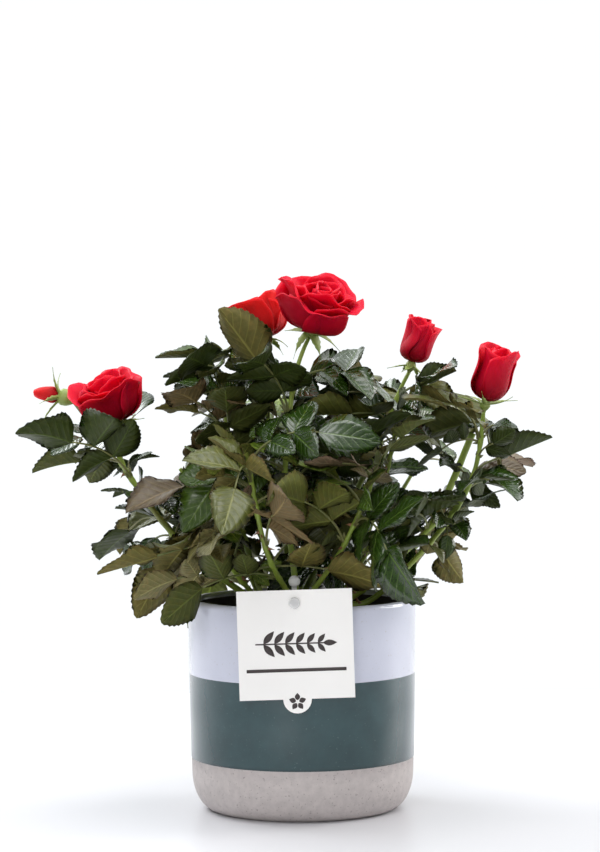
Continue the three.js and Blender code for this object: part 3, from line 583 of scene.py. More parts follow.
keepOff = {  # how near the leaves may come to the rim, the soil and the card
    'rimTop': 127.5, 'rimInside': 59.9, 'rimOutside': 70.5, 'soilTop': soilLevel + 2.5, 'soilRadius': 68,
    'cardTop': 144.5, 'cardBack': -52, 'cardMiddle': -4.2, 'cardHalf': 37,
}


def pointFits(p):
    x, y, z = p
    fromAxis = hypot(x, y)
    nearRim = z < keepOff['rimTop'] and keepOff['rimInside'] < fromAxis < keepOff['rimOutside']
    nearSoil = z < keepOff['soilTop'] and fromAxis < keepOff['soilRadius']
    besideCard = abs(x - keepOff['cardMiddle']) < keepOff['cardHalf']
    nearCard = z < keepOff['cardTop'] and y < keepOff['cardBack'] and besideCard
    if nearRim or nearSoil or nearCard or any(inBloom(p, bloom) for bloom in blooms.values()):
        return False
    return abs(y) < leafPlan['depth']


def seenFits(p):
    scale = eyeDistance / (eyeDistance + p[1])
    across, height = p[0] * scale, eyeHeight - (eyeHeight - p[2]) * scale
    return inEllipses(rooms, across, height) and not inEllipses(gaps, across, height)


def spaceFits(guard):
    ring = guard.ring
    between = (ring + np.roll(ring, -1, axis=0)) / 2
    return all(pointFits(p) and seenFits(p) for p in (*ring, *between, guard.centre))


def fitted(shoot, leaf, lift=leafPlan['guard']):  # how many of its leaflets find room
    def clear(guard, mate=None):
        return spaceFits(guard) and not standing.touches(guard, mate)

    if not clear(leafletGuard(leaf.end, lift)):
        return 0
    leaf.guards = [limbGuard(a, b, stalkRadius, shoot.name) for a, b in zip(leaf.stalk, leaf.stalk[1:])]
    for i, guard in enumerate(leaf.guards):
        if not clear(guard, shoot.name if i == 0 else None):
            return 0
    leaf.pairs = [[leaflet if clear(leafletGuard(leaflet, lift)) else None for leaflet in pair]
                  for pair in leaf.pairs]
    return len(leaf.leaflets())


def settle(shoot, leaf, finish=None, lift=leafPlan['guard']):
    leaf.finish = finish
    shoot.grown.append(leaf)
    for guard in leaf.guards:
        standing.add(guard)
    for leaflet in leaf.leaflets():
        standing.add(leafletGuard(leaflet, lift))


habits = {  # rise at the foot, its gain up the plant and its spread, droop, lean, size, share with two pairs
    'grown': (25, 35, 50, (20, 90), 110, (0.82, 0.36), 0.75),
    'finer': (20, 40, 60, (15, 80), 120, (0.5, 0.45), 0.5),
}


def drawLeaf(habit, root, roll, turn, spread, shrink=1):
    rise, gain, riseSpread, droop, lean, size, twoPairs = habits[habit]
    heightShare = (root[2] - soilLevel) / (eyeHeight - soilLevel)
    turn += (roll() - 0.5) * spread
    rise += gain * heightShare + (roll() - 0.5) * riseSpread
    drooping, leaning, pitch = droop[0] + droop[1] * roll(), (roll() - 0.5) * lean, (roll() - 0.35) * 50
    grown = leafPlan['size'] * (size[0] + size[1] * roll()) * shrink
    return Leaf(root, turn, rise, drooping, leaning, pitch, grown, 2 if roll() < twoPairs else 1)


def tryLeaf(shoot, index):  # the first try with all its leaflets stays, or else the fullest one
    top = 0.86 if shoot.bloom else 1
    lowest = (shoot.bare + 0.5) / stemSteps
    root = stemPoint(shoot.stem, lowest + (top - lowest) * index / (shoot.leaves - 1))
    best, bestCount = None, 1
    for attempt in range(leafPlan['tries']):
        turn = shoot.turn + leafPlan['turn'] * index
        leaf = drawLeaf('grown', root, shoot.roll, turn, 60 + 25 * attempt)
        count = fitted(shoot, leaf)
        if count > bestCount:
            best, bestCount = leaf, count
        if best and bestCount == 1 + 2 * len(best.pairs):
            break
    if best:
        settle(shoot, best)


def growLeaves():
    for shoot, at, *plan, petiole, finish in shownPlan:
        leaf = Leaf(stemPoint(shoots[shoot].stem, at), *plan, petiole)
        if fitted(shoots[shoot], leaf):
            settle(shoots[shoot], leaf, finish)
    for index in range(max(shoot.leaves for shoot in shoots.values())):
        for shoot in shoots.values():
            if index < shoot.leaves:
                tryLeaf(shoot, index)


stubStem = growBoughs()
budTwigPath = seatBlooms()
growLeaves()
nudges = {  # heads that sway a little
    'left': (7, 0, 0), 'second': (5, 0, 0), 'goblet': (4, 0, 1), 'main': (3, 0, 0), 'right': (1, 0, -3),
    'bud': (-3, 0, 4),
}
for name, nudge in nudges.items():
    bloom, sway = blooms[name], point(*nudge)
    stem = budTwigPath if name == 'bud' else shoots[bloomPlan[name][0]].stem
    for back, share in ((1, 1.0), (2, 0.55), (3, 0 if name == 'bud' else 0.2)):
        stem[-back] = stem[-back] + sway * share
    bloom.foot, bloom.petalFoot = bloom.foot + sway, bloom.petalFoot + sway
    for sepal in bloom.sepals:
        sepal.root = sepal.root + sway
print('leaves on the plan:', sum(len(shoot.grown) for shoot in shoots.values()))

# Pot: the wall is drawn up from the foot ring by ring, over the lip and down inside
pot = {
    'sides': 128, 'foot': 53, 'corner': 66, 'cornerHeight': 23, 'waist': 66.9, 'waistHeight': 62.5, 'rim': 68,
    'rimHeight': 121.5, 'wall': 5.6, 'height': 125, 'floor': 8, 'bandLow': 31, 'bandHigh': 81, 'glaze': 0.25,
    'white': (0.63, 0.65, 0.76), 'whiteShade': (0.57, 0.59, 0.7), 'whiteSpeck': (0.5, 0.49, 0.52),
    'teal': (0.027, 0.078, 0.086), 'tealShade': (0.009, 0.034, 0.039), 'tealSpeck': (0.05, 0.1, 0.105),
    'tealEdge': (0.01, 0.034, 0.04), 'stone': (0.65, 0.592, 0.572), 'stoneShade': (0.395, 0.358, 0.352),
    # the two near-black colours for the inside of the pot, and how high they reach, are painted shade
    'speck': (0.33, 0.29, 0.28), 'insideShade': (0.022, 0.017, 0.013), 'insideShadeLight': (0.06, 0.05, 0.04),
    'insideShadeTop': 121.5,
}


def speckled(paint, base, shade, speck, scale, level, cloud=70.0):
    specks = ((paint.noise(scale, 1.0) - level) * 14.0).clamp()
    return paint.mix(specks, paint.mix(paint.noise(cloud, 5.0, 0.62), shade, base), speck)


def potMaterials():
    white = Paint('whiteGlaze', pot['white'], 0.16, Coat_Weight=0.5, Coat_Roughness=0.06)
    white.tint(speckled(white, pot['white'], pot['whiteShade'], pot['whiteSpeck'], 900.0, 0.7))
    teal = Paint('tealGlaze', pot['teal'], 0.22, Coat_Weight=0.35, Coat_Roughness=0.1)
    height = teal.xyz(teal.node('ShaderNodeTexCoord', 'Object'))[2]
    edge = (((pot['bandLow'] + 1.6) * mm - height) * 700.0).clamp()
    cloudy = speckled(teal, pot['teal'], pot['tealShade'], pot['tealSpeck'], 700.0, 0.7)
    teal.tint(teal.mix(edge, cloudy, pot['tealEdge']))
    for glaze in (white, teal):
        glaze.bump(glaze.noise(180.0, 1.0), 0.12, 0.35)
    stone = Paint('bareStoneware', pot['stone'], 0.62)
    stone.tint(speckled(stone, pot['stone'], pot['stoneShade'], pot['speck'], 700.0, 0.66, 240.0))
    stone.bump(stone.noise(900.0, 4.0), 0.12, 0.5)
    # painted shade: a near-black mottled finish for the pot's inner wall, standing in for the shade inside the
    # pot
    shadedInside = Paint('paintedShadeInside', pot['insideShade'], 0.8)
    shadedInside.mottle(pot['insideShade'], pot['insideShadeLight'], 60.0, 4.0)
    return [paint.material for paint in (white, teal, stone, shadedInside)]


def potRings():
    rings = []
    for k in range(1, 11):  # the rounded foot
        angle = pi / 2 * k / 10
        rings.append((mix(pot['foot'], pot['corner'], sin(angle)), pot['cornerHeight'] * (1 - cos(angle))))
    waist, waistHeight, low, high = (pot[key] for key in ('waist', 'waistHeight', 'bandLow', 'bandHigh'))
    lowRadius = mix(pot['corner'], waist, (low - pot['cornerHeight']) / (waistHeight - pot['cornerHeight']))
    highRadius = mix(waist, pot['rim'], (high - waistHeight) / (pot['rimHeight'] - waistHeight))
    rings += [(lowRadius, low - 0.3), (lowRadius + pot['glaze'], low), (waist + 0.15, waistHeight),
              (highRadius, high), (highRadius + 0.12, high + 0.35), (67.7, 108)]
    half = pot['wall'] / 2
    for k in range(9):  # the round lip
        angle = pi * k / 8
        rings.append((pot['rim'] - half + half * cos(angle), pot['height'] - 3.2 + 3.2 * sin(angle)))
    return rings + [(60.4, 31), (57, 16), (50, pot['floor']), (30, pot['floor'])]


def makePot():
    radius, height = pot['foot'] - 2.5, 0.0
    obj = startCircle(pot['sides'], radius)
    for nextRadius, nextHeight in [(pot['foot'], 0.0)] + potRings():
        step = (0, 0, (nextHeight - height) * mm)
        bpy.ops.mesh.extrude_region_move(TRANSFORM_OT_translate={'value': step})
        share = nextRadius / radius
        bpy.ops.transform.resize(value=(share, share, 1), center_override=(0, 0, nextHeight * mm))
        radius, height = nextRadius, nextHeight
    bpy.ops.mesh.select_all(action='SELECT')
    bpy.ops.mesh.normals_make_consistent(inside=False)
    bpy.ops.object.mode_set(mode='OBJECT')
    for material in potMaterials():
        obj.data.materials.append(material)
    for face in obj.data.polygons:
        x, y, z = face.center / mm
        fromAxis = hypot(x, y)
        outside = fromAxis > 61.5 or z < 7.5 or (z < 16 and fromAxis > 57.8)  # the wall, the base, the foot
        if outside and z < pot['bandLow']:
            face.material_index = 2
        elif outside and z < pot['bandHigh']:
            face.material_index = 1
        elif z < pot['insideShadeTop'] and fromAxis < 63:  # painted shade: the inner wall up to the lip takes a near-black finish, standing in for the shade inside the pot
            face.material_index = 3
    bpy.ops.object.shade_smooth_by_angle(angle=radians(40))
    finishPiece(obj, 'ceramic_pot', ['pot'])


makePot()
print('pot drawn up')

# Soil: a lumpy peat surface with loose crumbs
soil = {
    'radius': 61.6, 'sides': 72, 'rings': 16, 'ringStep': 3.55, 'deep': 6, 'lump': 2.2, 'crumbs': 420,
    'crumbsReach': 59, 'dark': (0.022, 0.013, 0.009), 'light': (0.075, 0.045, 0.028),
}


def soilHeight(x, y):
    lump = noise.noise(Vector((x, y, 3)) * 0.09) * soil['lump'] + noise.noise(Vector((x, y, 9)) * 0.3) * 0.8
    return soilLevel + lump - 2.5 * smooth((hypot(x, y) - 52) / 10)


def crumbShape():  # twenty sides round twelve corners
    golden = (1 + sqrt(5)) / 2
    corners = np.array([(s, t * golden, 0) for s in (-1, 1) for t in (-1, 1)])
    corners = np.vstack([corners, corners[:, [2, 0, 1]], corners[:, [1, 2, 0]]]) / hypot(1, golden)
    close = np.linalg.norm(corners[:, None] - corners[None], axis=2) < 1.1
    faces = []
    for i, j, k in combinations(range(12), 3):
        if close[i, j] and close[j, k] and close[i, k]:
            a, b, c = corners[i], corners[j], corners[k]
            faces.append((i, j, k) if cross(b - a, c - a) @ (a + b + c) > 0 else (i, k, j))
    return corners, faces


def makeSoil():
    peat = Paint('peat', soil['dark'], 0.95)
    peat.mottle(soil['dark'], soil['light'], 260.0, 6.0, 0.7)
    peat.bump(peat.noise(500.0, 5.0, 0.7), 0.8, 1.0)
    obj = startCircle(soil['sides'], soil['radius'], soilLevel)
    for _ in range(soil['rings']):
        bpy.ops.mesh.inset(thickness=soil['ringStep'] * mm)
    bpy.ops.mesh.select_all(action='SELECT')
    bpy.ops.mesh.quads_convert_to_tris()
    bpy.ops.object.mode_set(mode='OBJECT')
    bpy.ops.object.transform_apply(location=True)
    for vertex in obj.data.vertices:
        vertex.co.z = soilHeight(vertex.co.x / mm, vertex.co.y / mm) * mm
    applyModifier(obj, 'depth', 'SOLIDIFY', thickness=soil['deep'] * mm, offset=-1)
    bpy.ops.object.shade_smooth()
    finishPiece(obj, 'peat_soil', ['soil'], peat.material)
    corners, faces = crumbShape()
    roll = dice(77)
    crumbs = Bundle()
    for _ in range(soil['crumbs']):
        away, angle = soil['crumbsReach'] * sqrt(roll()), 2 * pi * roll()
        x, y, size = away * cos(angle), away * sin(angle), 0.5 + 1.3 * roll() ** 2
        stretch = point(1 + roll(), 0.7 + roll() * 0.5, 0.6 + roll() * 0.3)
        lumps = corners * stretch * size * (0.8 + 0.4 * np.array([[roll()] for _ in range(12)]))
        turn = 2 * pi * roll()
        flat = np.array([[cos(turn), sin(turn), 0], [-sin(turn), cos(turn), 0], [0, 0, 1]])
        crumbs.add(lumps @ flat + point(x, y, soilHeight(x, y) + 0.2 * size), faces)
    crumbs.piece('peat_crumbs', 'potting_soil', ['soil'], [peat.material])


makeSoil()
print('soil laid')

# Card on its clear pick: a plain rule, a leaf sprig and a small five-petal flower are printed on it
card = {
    'width': 66, 'height': 62.5, 'tab': 8.2, 'front': -69.15, 'thick': 0.6, 'centreX': -4.2, 'centreZ': 104.4,
    'pegZ': 128.3, 'tilt': 1.5, 'wave': 0.5, 'proud': 0.36,
    'paper': (0.97, 0.955, 0.93), 'paperShade': (0.95, 0.935, 0.91), 'ink': (0.045, 0.035, 0.033),
    'ruleZ': -14.6, 'ruleLength': 57, 'ruleWidth': 1.9, 'sprigZ': 0.6, 'sprigLength': 46,
}


def cardPlace(across, high, proud=0.0):  # from the card's middle, in its own plane
    tilt = radians(-card['tilt'])
    z = high + card['centreZ'] - card['pegZ']
    wave = card['wave'] * (sin(across * 0.11 + 0.6) * max(high, 0) / 31 + 0.35 * sin(high * 0.09))
    return point(card['centreX'] + across * cos(tilt) + z * sin(tilt),
                 card['front'] + 0.55 - wave * 0.6 - proud,
                 card['pegZ'] - across * sin(tilt) + z * cos(tilt))


def makeCard():
    half, low, tab = card['width'] / 2, -card['height'] / 2, card['tab']
    chord = [-tab * cos(pi * i / 12) for i in range(13)]
    columns = list(np.linspace(-half, -tab, 8)[:-1]) + chord + list(np.linspace(tab, half, 8)[1:])
    rows = np.linspace(low, -low, 19)
    corners = [cardPlace(x, z) for z in rows for x in columns]
    wide = len(columns)
    faces = []
    for r in range(len(rows) - 1):
        for c in range(wide - 1):
            a = r * wide + c
            faces.append((a, a + 1, a + 1 + wide, a + wide))
    above = [7 + i for i in range(13)]
    for k in range(1, 5):  # the tab hangs from the middle of the lower edge
        below = []
        for i in range(13):
            if i in (0, 12):
                below.append(above[i])
                continue
            corners.append(cardPlace(chord[i], low - k / 4 * tab * sin(pi * i / 12)))
            below.append(len(corners) - 1)
        for i in range(12):
            ring = list(dict.fromkeys((below[i], below[i + 1], above[i + 1], above[i])))
            if len(ring) > 2:
                faces.append(tuple(ring))
        above = below
    paper = Paint('cardPaper', card['paper'], 0.55)
    paper.mottle(card['paperShade'], card['paper'], 40.0, 4.0)
    paper.bump(paper.noise(900.0, 3.0), 0.05, 0.4)
    sheet = Bundle()
    sheet.add(corners, faces)
    obj = sheet.piece('blank_card', 'card', ['tag_card'], [paper.material], thickness=card['thick'])
    takeUp(obj)
    bpy.ops.object.shade_smooth_by_angle(angle=radians(30))


def printCard():
    marks = Bundle()

    def mark(outline, middle):  # a flat shape just proud of the card
        ring = [cardPlace(x, z, card['proud']) for x, z in outline]
        count = len(ring)
        fan = [(i, (i + 1) % count, count) for i in range(count)]
        marks.add(ring + [cardPlace(*middle, card['proud'])], fan)

    def blade(x, z, angle, length, width):
        outline = []
        for k in range(16):
            share = k / 8 if k <= 8 else (16 - k) / 8
            side = (-1 if k <= 8 else 1) * width * sin(pi * share ** 0.85)
            outline.append((x + share * length * cos(angle) - side * sin(angle),
                            z + share * length * sin(angle) + side * cos(angle)))
        mark(outline, (x + length / 2 * cos(angle), z + length / 2 * sin(angle)))

    def bar(x0, x1, z, width):
        across = np.linspace(x0, x1, 24)
        outline = [(x, z - width / 2) for x in across] + [(x, z + width / 2) for x in across[::-1]]
        ring = [cardPlace(x, h, card['proud']) for x, h in outline]
        marks.add(ring, [(i, i + 1, 46 - i, 47 - i) for i in range(23)])

    bar(-card['ruleLength'] / 2, card['ruleLength'] / 2, card['ruleZ'], card['ruleWidth'])
    start, length = -card['sprigLength'] / 2, card['sprigLength']
    bar(start, start + length * 0.86, card['sprigZ'], 0.8)
    for k in range(6):
        x = start + length * (0.1 + 0.135 * k)
        for hand in (-1, 1):
            blade(x, card['sprigZ'] + hand * 0.3, hand * 0.85, 9.5 - 0.6 * k, 1.9 - 0.1 * k)
    blade(start + length * 0.84, card['sprigZ'], 0, 8, 1.7)
    for k in range(5):
        angle = pi / 2 + 2 * pi * k / 5
        blade(0.9 * cos(angle), -card['height'] / 2 - 1.5 + 0.9 * sin(angle), angle, 4.2, 1.5)
    ink = Paint('printInk', card['ink'], 0.5)
    marks.piece('card_print', 'card', ['tag_card'], [ink.material], thickness=0.06)


pick = {
    'x': -4.2, 'reach': -57, 'top': 139.5, 'foot': 80, 'width': 3, 'depth': 1.5, 'knob': 3.4,
    'button': 3.2, 'peg': 1.6,
}


def makePick():
    clear = Paint('clearPlastic', (1.0, 1.0, 1.0), 0.08, Transmission_Weight=0.55, IOR=1.45)
    parts = []

    def keep(bevel=0.0):
        obj = bpy.context.object
        bpy.ops.object.transform_apply(location=True, rotation=True, scale=True)
        if bevel:
            applyModifier(obj, 'edge', 'BEVEL', width=bevel * mm, segments=3)
        bpy.ops.object.shade_smooth_by_angle(angle=radians(35))
        parts.append(obj)

    deselectAll()
    x, y, top, foot = (pick[key] * mm for key in ('x', 'reach', 'top', 'foot'))
    bpy.ops.mesh.primitive_cube_add(size=1, location=(x, y, (top + foot) / 2),
                                    scale=(pick['width'] * mm, pick['depth'] * mm, top - foot))
    keep(0.4)
    deselectAll()
    bpy.ops.mesh.primitive_uv_sphere_add(segments=24, ring_count=16, radius=pick['knob'] * mm,
                                         location=(x, y, top))
    keep()
    pegLength = pick['reach'] - card['front'] + 1.2
    for radius, length, middle, bevel in ((pick['peg'], pegLength, pick['reach'] - pegLength / 2, 0.2),
                                          (pick['button'], 1.5, card['front'] - 1.1, 0.5)):
        deselectAll()
        bpy.ops.mesh.primitive_cylinder_add(vertices=28, radius=radius * mm, depth=length * mm,
                                            rotation=(pi / 2, 0, 0),
                                            location=(x, middle * mm, card['pegZ'] * mm))
        keep(bevel)
    deselectAll()
    for obj in parts:
        obj.select_set(True)
    bpy.context.view_layer.objects.active = parts[0]
    bpy.ops.object.join()
    finishPiece(bpy.context.object, 'clear_pick', ['tag_pick'], clear.material)


makeCard()
printCard()
makePick()
print('card hung on its pick')

# Limbs: tubes with relief that follow a smooth path
def tube(points, radii, sides, relief=0.0, grain=0.35):
    points = [np.asarray(p, float) for p in points]
    corners, places, faces = [], [], []
    side, gone, last = point(0.31, 0.95, 0.05), 0.0, len(points) - 1
    for i, p in enumerate(points):
        along = unit(points[min(i + 1, last)] - points[max(i - 1, 0)])
        side = unit(side - along * (along @ side))
        across = cross(along, side)
        gone += dist(p, points[max(i - 1, 0)])
        for k in range(sides):
            way = around(side, across, 2 * pi * k / sides) * radii[i]
            swell = 1 + relief * noise.noise(Vector(p + way) * grain) if relief else 1
            corners.append(p + way * swell)
            places.append((k / sides, gone / 20))
    for i in range(last):
        for k in range(sides):
            a, b = i * sides + k, i * sides + (k + 1) % sides
            faces.append((a, b, b + sides, a + sides))
    faces += [tuple(range(sides - 1, -1, -1)), tuple(range(last * sides, (last + 1) * sides))]
    return corners, faces, places


def smoothPath(points, steps):
    count = steps * (len(points) - 1)
    return [pointOn(points, i / count) for i in range(count + 1)]


stems = {
    'green': (0.19, 0.29, 0.034), 'lime': (0.36, 0.45, 0.07), 'russet': (0.2, 0.13, 0.05),
    'wood': (0.17, 0.12, 0.065), 'woodDark': (0.07, 0.045, 0.025),
    'thorn': (0.2, 0.07, 0.035), 'thornLight': (0.3, 0.16, 0.06), 'thornChance': 0.2, 'thornLength': 4.4,
}


def stemMaterials():
    green = Paint('greenBark', stems['green'], 0.4, Specular_IOR_Level=0.5)
    cloudy = green.mix(green.noise(45.0, 3.0), stems['green'], stems['lime'])
    green.tint(green.mix(((green.noise(18.0, 2.0) - 0.62) * 5.0).clamp(), cloudy, stems['russet']))
    green.bump(green.noise(900.0, 4.0), 0.15, 0.5)
    wood = Paint('woodyBark', stems['wood'], 0.8)
    wood.mottle(stems['woodDark'], stems['wood'], 220.0, 5.0, 0.65)
    wood.bump(wood.noise(420.0, 5.0, 0.6), 0.6, 0.9)
    thorn = Paint('thornRed', stems['thorn'], 0.35)
    thorn.mottle(stems['thorn'], stems['thornLight'], 300.0)
    return green.material, wood.material, thorn.material


greenBark, woodyBark, thornRed = stemMaterials()


def addThorn(bundle, root, along, outward, length, finish):
    base = [root + outward * 0.2 + along * a + cross(along, outward) * b for a, b in
            ((-1.5, 0), (-0.8, 0.55), (0.6, 0.5), (1.2, 0), (0.6, -0.5), (-0.8, -0.55))]
    neck = [root + (p - root) * 0.42 + outward * length * 0.45 - along * 0.3 for p in base]
    tip = root + outward * length - along * 1.3
    faces = [(i, (i + 1) % 6, 6 + (i + 1) % 6, 6 + i) for i in range(6)]
    faces += [(6 + i, 6 + (i + 1) % 6, 12) for i in range(6)]
    bundle.add(base + neck + [tip], faces, finish=finish)


def makeStem(name, stem, radiusLow, radiusHigh, roots, seed, nodes):
    path = smoothPath(stem, 4)
    radii = []
    for i, p in enumerate(path):
        swell = sum(0.45 * exp(-((p - root) @ (p - root)) / 3.2) for root in roots)
        radii.append(mix(radiusLow, radiusHigh, i / (len(path) - 1)) + min(swell, 0.6))
    bundle = Bundle()
    start = path[0] - unit(path[1] - path[0]) * 4.5  # the foot is sunk in the cane's knuckle
    bundle.add(*tube([start] + path, [radiusLow * 1.5] + radii, 10, 0.07))
    roll = dice(seed)
    for i in range(3, len(path) - 8):
        if roll() < stems['thornChance']:
            along = unit(path[i + 1] - path[i])
            outward = around(*crossWays(along), 2 * pi * roll())
            root, length = path[i] + outward * radii[i] * 0.8, stems['thornLength'] * (0.6 + 0.5 * roll())
            addThorn(bundle, root, along, outward, length, 1)
    bundle.piece(name, 'stem', nodes, [greenBark, thornRed])


caneRows = [  # height above the knuckle's middle, and radius
    (-9.5, 6.2), (-8, 5.2), (-6, 4.6), (-4, 5.0), (-1, 5.5), (1, 5.6), (3, 4.9), (4.4, 3.4), (5.2, 1.2),
]


def makeCane(name, x, y, seed):
    roll = dice(seed)
    heights, widths = [caneLevel + h for h, _ in caneRows], [r for _, r in caneRows]
    path = smoothPath([point(x + 0.4 * (roll() - 0.5), y + 0.4 * (roll() - 0.5), z) for z in heights], 3)
    bundle = Bundle()
    bundle.add(*tube(path, [float(np.interp(p[2], heights, widths)) for p in path], 20, 0.28, 0.5))
    for _ in range(3):  # short dead spurs left by old cuts
        angle = 2 * pi * roll()
        outward = point(cos(angle), sin(angle), 0.8 + roll())
        root = point(x, y, caneLevel - 2 + 3 * roll())
        spur = [root + unit(outward) * d for d in (3.0, 5.2, 6.6 + 1.6 * roll())]
        bundle.add(*tube(spur, [1.5, 1.2, 1.15], 8, 0.2, 0.8))
    bundle.piece('stump_' + name, 'stem', ['cane_' + name], [woodyBark])


# Finer leaves between the ones on the plan, smaller and closer, in the same rooms
fill = {
    'rounds': 3, 'perRound': 7, 'lift': 0.45, 'tries': 10, 'shrink': 0.12,
    'sky': [(-19, 193, 5, 11), (-22, 161, 7, 9), (-4, 186, 4, 7), (53, 179, 7, 11), (79, 195, 6, 5),
            (8, 152, 5, 8), (39, 140, 7, 9), (-40, 138, 5, 5)],
}


def hidesStem(leaf):  # the tall stems stay in sight from the front
    for leaflet in leaf.leaflets():
        middle, wide = leaflet.root + leaflet.forward * leaflet.size * 0.5, 0.34 * leaflet.size
        for name in ('centre', 'left', 'right'):
            for p in shoots[name].stem[1:-1]:
                if middle[1] < p[1] - 3 and abs(middle[0] - p[0]) < wide and abs(middle[2] - p[2]) < wide:
                    return True
    return False


def fillLeaves():
    rolls = {name: dice(900 + 7 * i) for i, name in enumerate(shoots)}
    gaps.extend(fill['sky'])
    for turnRound in range(fill['rounds']):
        for index in range(fill['perRound']):
            for name, shoot in shoots.items():
                roll = rolls[name]
                top, lowest = (0.9 if shoot.bloom else 1), (shoot.bare + 0.2) / stemSteps
                share = mix(lowest, top, (index + 0.25 + 0.5 * roll()) / fill['perRound'])
                root = stemPoint(shoot.stem, share)
                for _ in range(fill['tries']):
                    leaf = drawLeaf('finer', root, roll, 180, 360, 1 - fill['shrink'] * turnRound)
                    if not hidesStem(leaf) and fitted(shoot, leaf, fill['lift']) > 1:
                        settle(shoot, leaf, None, fill['lift'])
                        break


fillLeaves()
print('leaves with the finer ones:', sum(len(shoot.grown) for shoot in shoots.values()),
      'leaflets:', sum(len(leaf.leaflets()) for shoot in shoots.values() for leaf in shoot.grown))

for k, (name, (x, y)) in enumerate(canes.items()):
    makeCane(name, x, y, 40 + k)
for k, (name, shoot) in enumerate(shoots.items()):
    low, roots = (1.95 if shoot.bloom else 1.7), [leaf.stalk[0] for leaf in shoot.grown]
    makeStem('stem_' + name, shoot.stem, low, tipRadius, roots, 300 + k, ['bough_' + name, 'leaves_' + name])
makeStem('cut_stub', stubStem, 2.35, 2.0, [stubStem[5], stubStem[9]], 340, ['pruned_stub'])
print('canes and stems grown')

# Leaf finishes: top, patch, vein and underside colour, roughness of both sides, gloss of both
leafFinishes = {
    'glossy': ((0.024, 0.062, 0.005), (0.042, 0.085, 0.007), (0.085, 0.15, 0.022),
               (0.046, 0.07, 0.01), (0.18, 0.5), (0.52, 0)),
    'dark': ((0.027, 0.067, 0.006), (0.048, 0.092, 0.009), (0.08, 0.145, 0.022),
             (0.094, 0.116, 0.022), (0.21, 0.6), (0.44, 0)),
    'mid': ((0.055, 0.11, 0.008), (0.082, 0.132, 0.012), (0.12, 0.19, 0.03),
            (0.135, 0.152, 0.026), (0.26, 0.6), (0.34, 0)),
    'olive': ((0.114, 0.134, 0.017), (0.145, 0.136, 0.022), (0.215, 0.22, 0.05),
              (0.2, 0.182, 0.044), (0.42, 0.62), (0.12, 0)),
    'bronze': ((0.105, 0.078, 0.019), (0.075, 0.076, 0.013), (0.18, 0.145, 0.045),
               (0.195, 0.145, 0.055), (0.45, 0.62), (0.1, 0)),
    'young': ((0.2, 0.14, 0.08), (0.13, 0.13, 0.04), (0.3, 0.22, 0.115),
              (0.26, 0.19, 0.11), (0.48, 0.62), (0.1, 0)),
    'pale': ((0.22, 0.205, 0.06), (0.25, 0.21, 0.075), (0.34, 0.31, 0.13),
             (0.32, 0.3, 0.115), (0.45, 0.6), (0.1, 0)),
    'bright': ((0.17, 0.3, 0.018), (0.34, 0.4, 0.035), (0.42, 0.48, 0.09),
               (0.26, 0.33, 0.05), (0.36, 0.6), (0.2, 0)),
}
leafWeights = {  # how a shoot's leaves are dealt out over the finishes
    'usual': {'glossy': 4, 'dark': 4, 'mid': 4, 'olive': 2, 'bronze': 1, 'young': 0.25, 'bright': 0.5},
    'low': {'glossy': 1.5, 'dark': 2, 'mid': 4, 'olive': 3.6, 'bronze': 1.3, 'young': 1.7, 'bright': 1.1},
    'outer': {'olive': 0.5, 'mid': 0.7, 'glossy': 8},
    'lowest': {'pale': 4, 'olive': 3, 'mid': 1, 'bright': 1},
}
shootWeights = {
    'low_left': 'lowest', 'left_back': 'low', 'front': 'low', 'low_right': 'low',
    'left': 'outer', 'right': 'outer',
}
leafShape = {'cells': 6, 'shapes': 16, 'base': 0.52, 'tip': 0.84, 'fat': 1.2, 'tooth': 0.038, 'thick': 0.016}


def veinPattern(paint):
    along, across, _ = paint.xyz(paint.node('ShaderNodeUVMap', uv_map='UVMap'))
    away = paint.math('ABSOLUTE', across - 0.5)
    slanted = along * 7.0 - away * 4.6
    wave = paint.math('ABSOLUTE', paint.math('FRACT', slanted) - 0.5)
    lateral, midrib = (1.0 - wave * 11.0).clamp(), (1.0 - away * 26.0).clamp()
    veins = paint.math('MAXIMUM', lateral * 0.5, midrib)
    return veins, paint.math('COSINE', slanted * (2 * pi)), ((away - 0.43) * 10.0).clamp()


def leafMaterials():
    materials = []
    for name, (base, patch, vein, under, rough, gloss) in leafFinishes.items():
        underPatch = (1.1 * under[0], 0.68 * under[1], 0.8 * under[2])
        underVein = tuple(1.5 * c for c in under)
        sides = (('Top', base, patch, vein, -1.0), ('Under', under, underPatch, underVein, 1.0))
        for (side, colour, other, line, sign), sideRough, coat in zip(sides, rough, gloss):
            paint = Paint(name + side, colour, sideRough, Specular_IOR_Level=0.5 if coat else 0.25,
                          Coat_Weight=coat, Coat_Roughness=0.2)
            veins, quilt, margin = veinPattern(paint)
            cloudy = paint.mix(paint.noise(38.0, 3.0), colour, other)
            mottle = ((paint.noise(310.0, 4.0, 0.7) - 0.42) * 2.6).clamp()
            mottled = paint.mix(mottle, tuple(0.62 * c for c in colour), cloudy)
            reddish = (0.75 * colour[0] + 0.01, 0.42 * colour[1], 0.6 * colour[2])
            paint.tint(paint.mix(veins, paint.mix(margin * 0.55, mottled, reddish), line))
            grain = paint.noise(420.0, 3.0) * 0.35
            paint.bump(veins * (sign * 0.7) + quilt * (-sign * 0.22) + grain, 0.5, 0.7)
            materials.append(paint.material)
    return materials


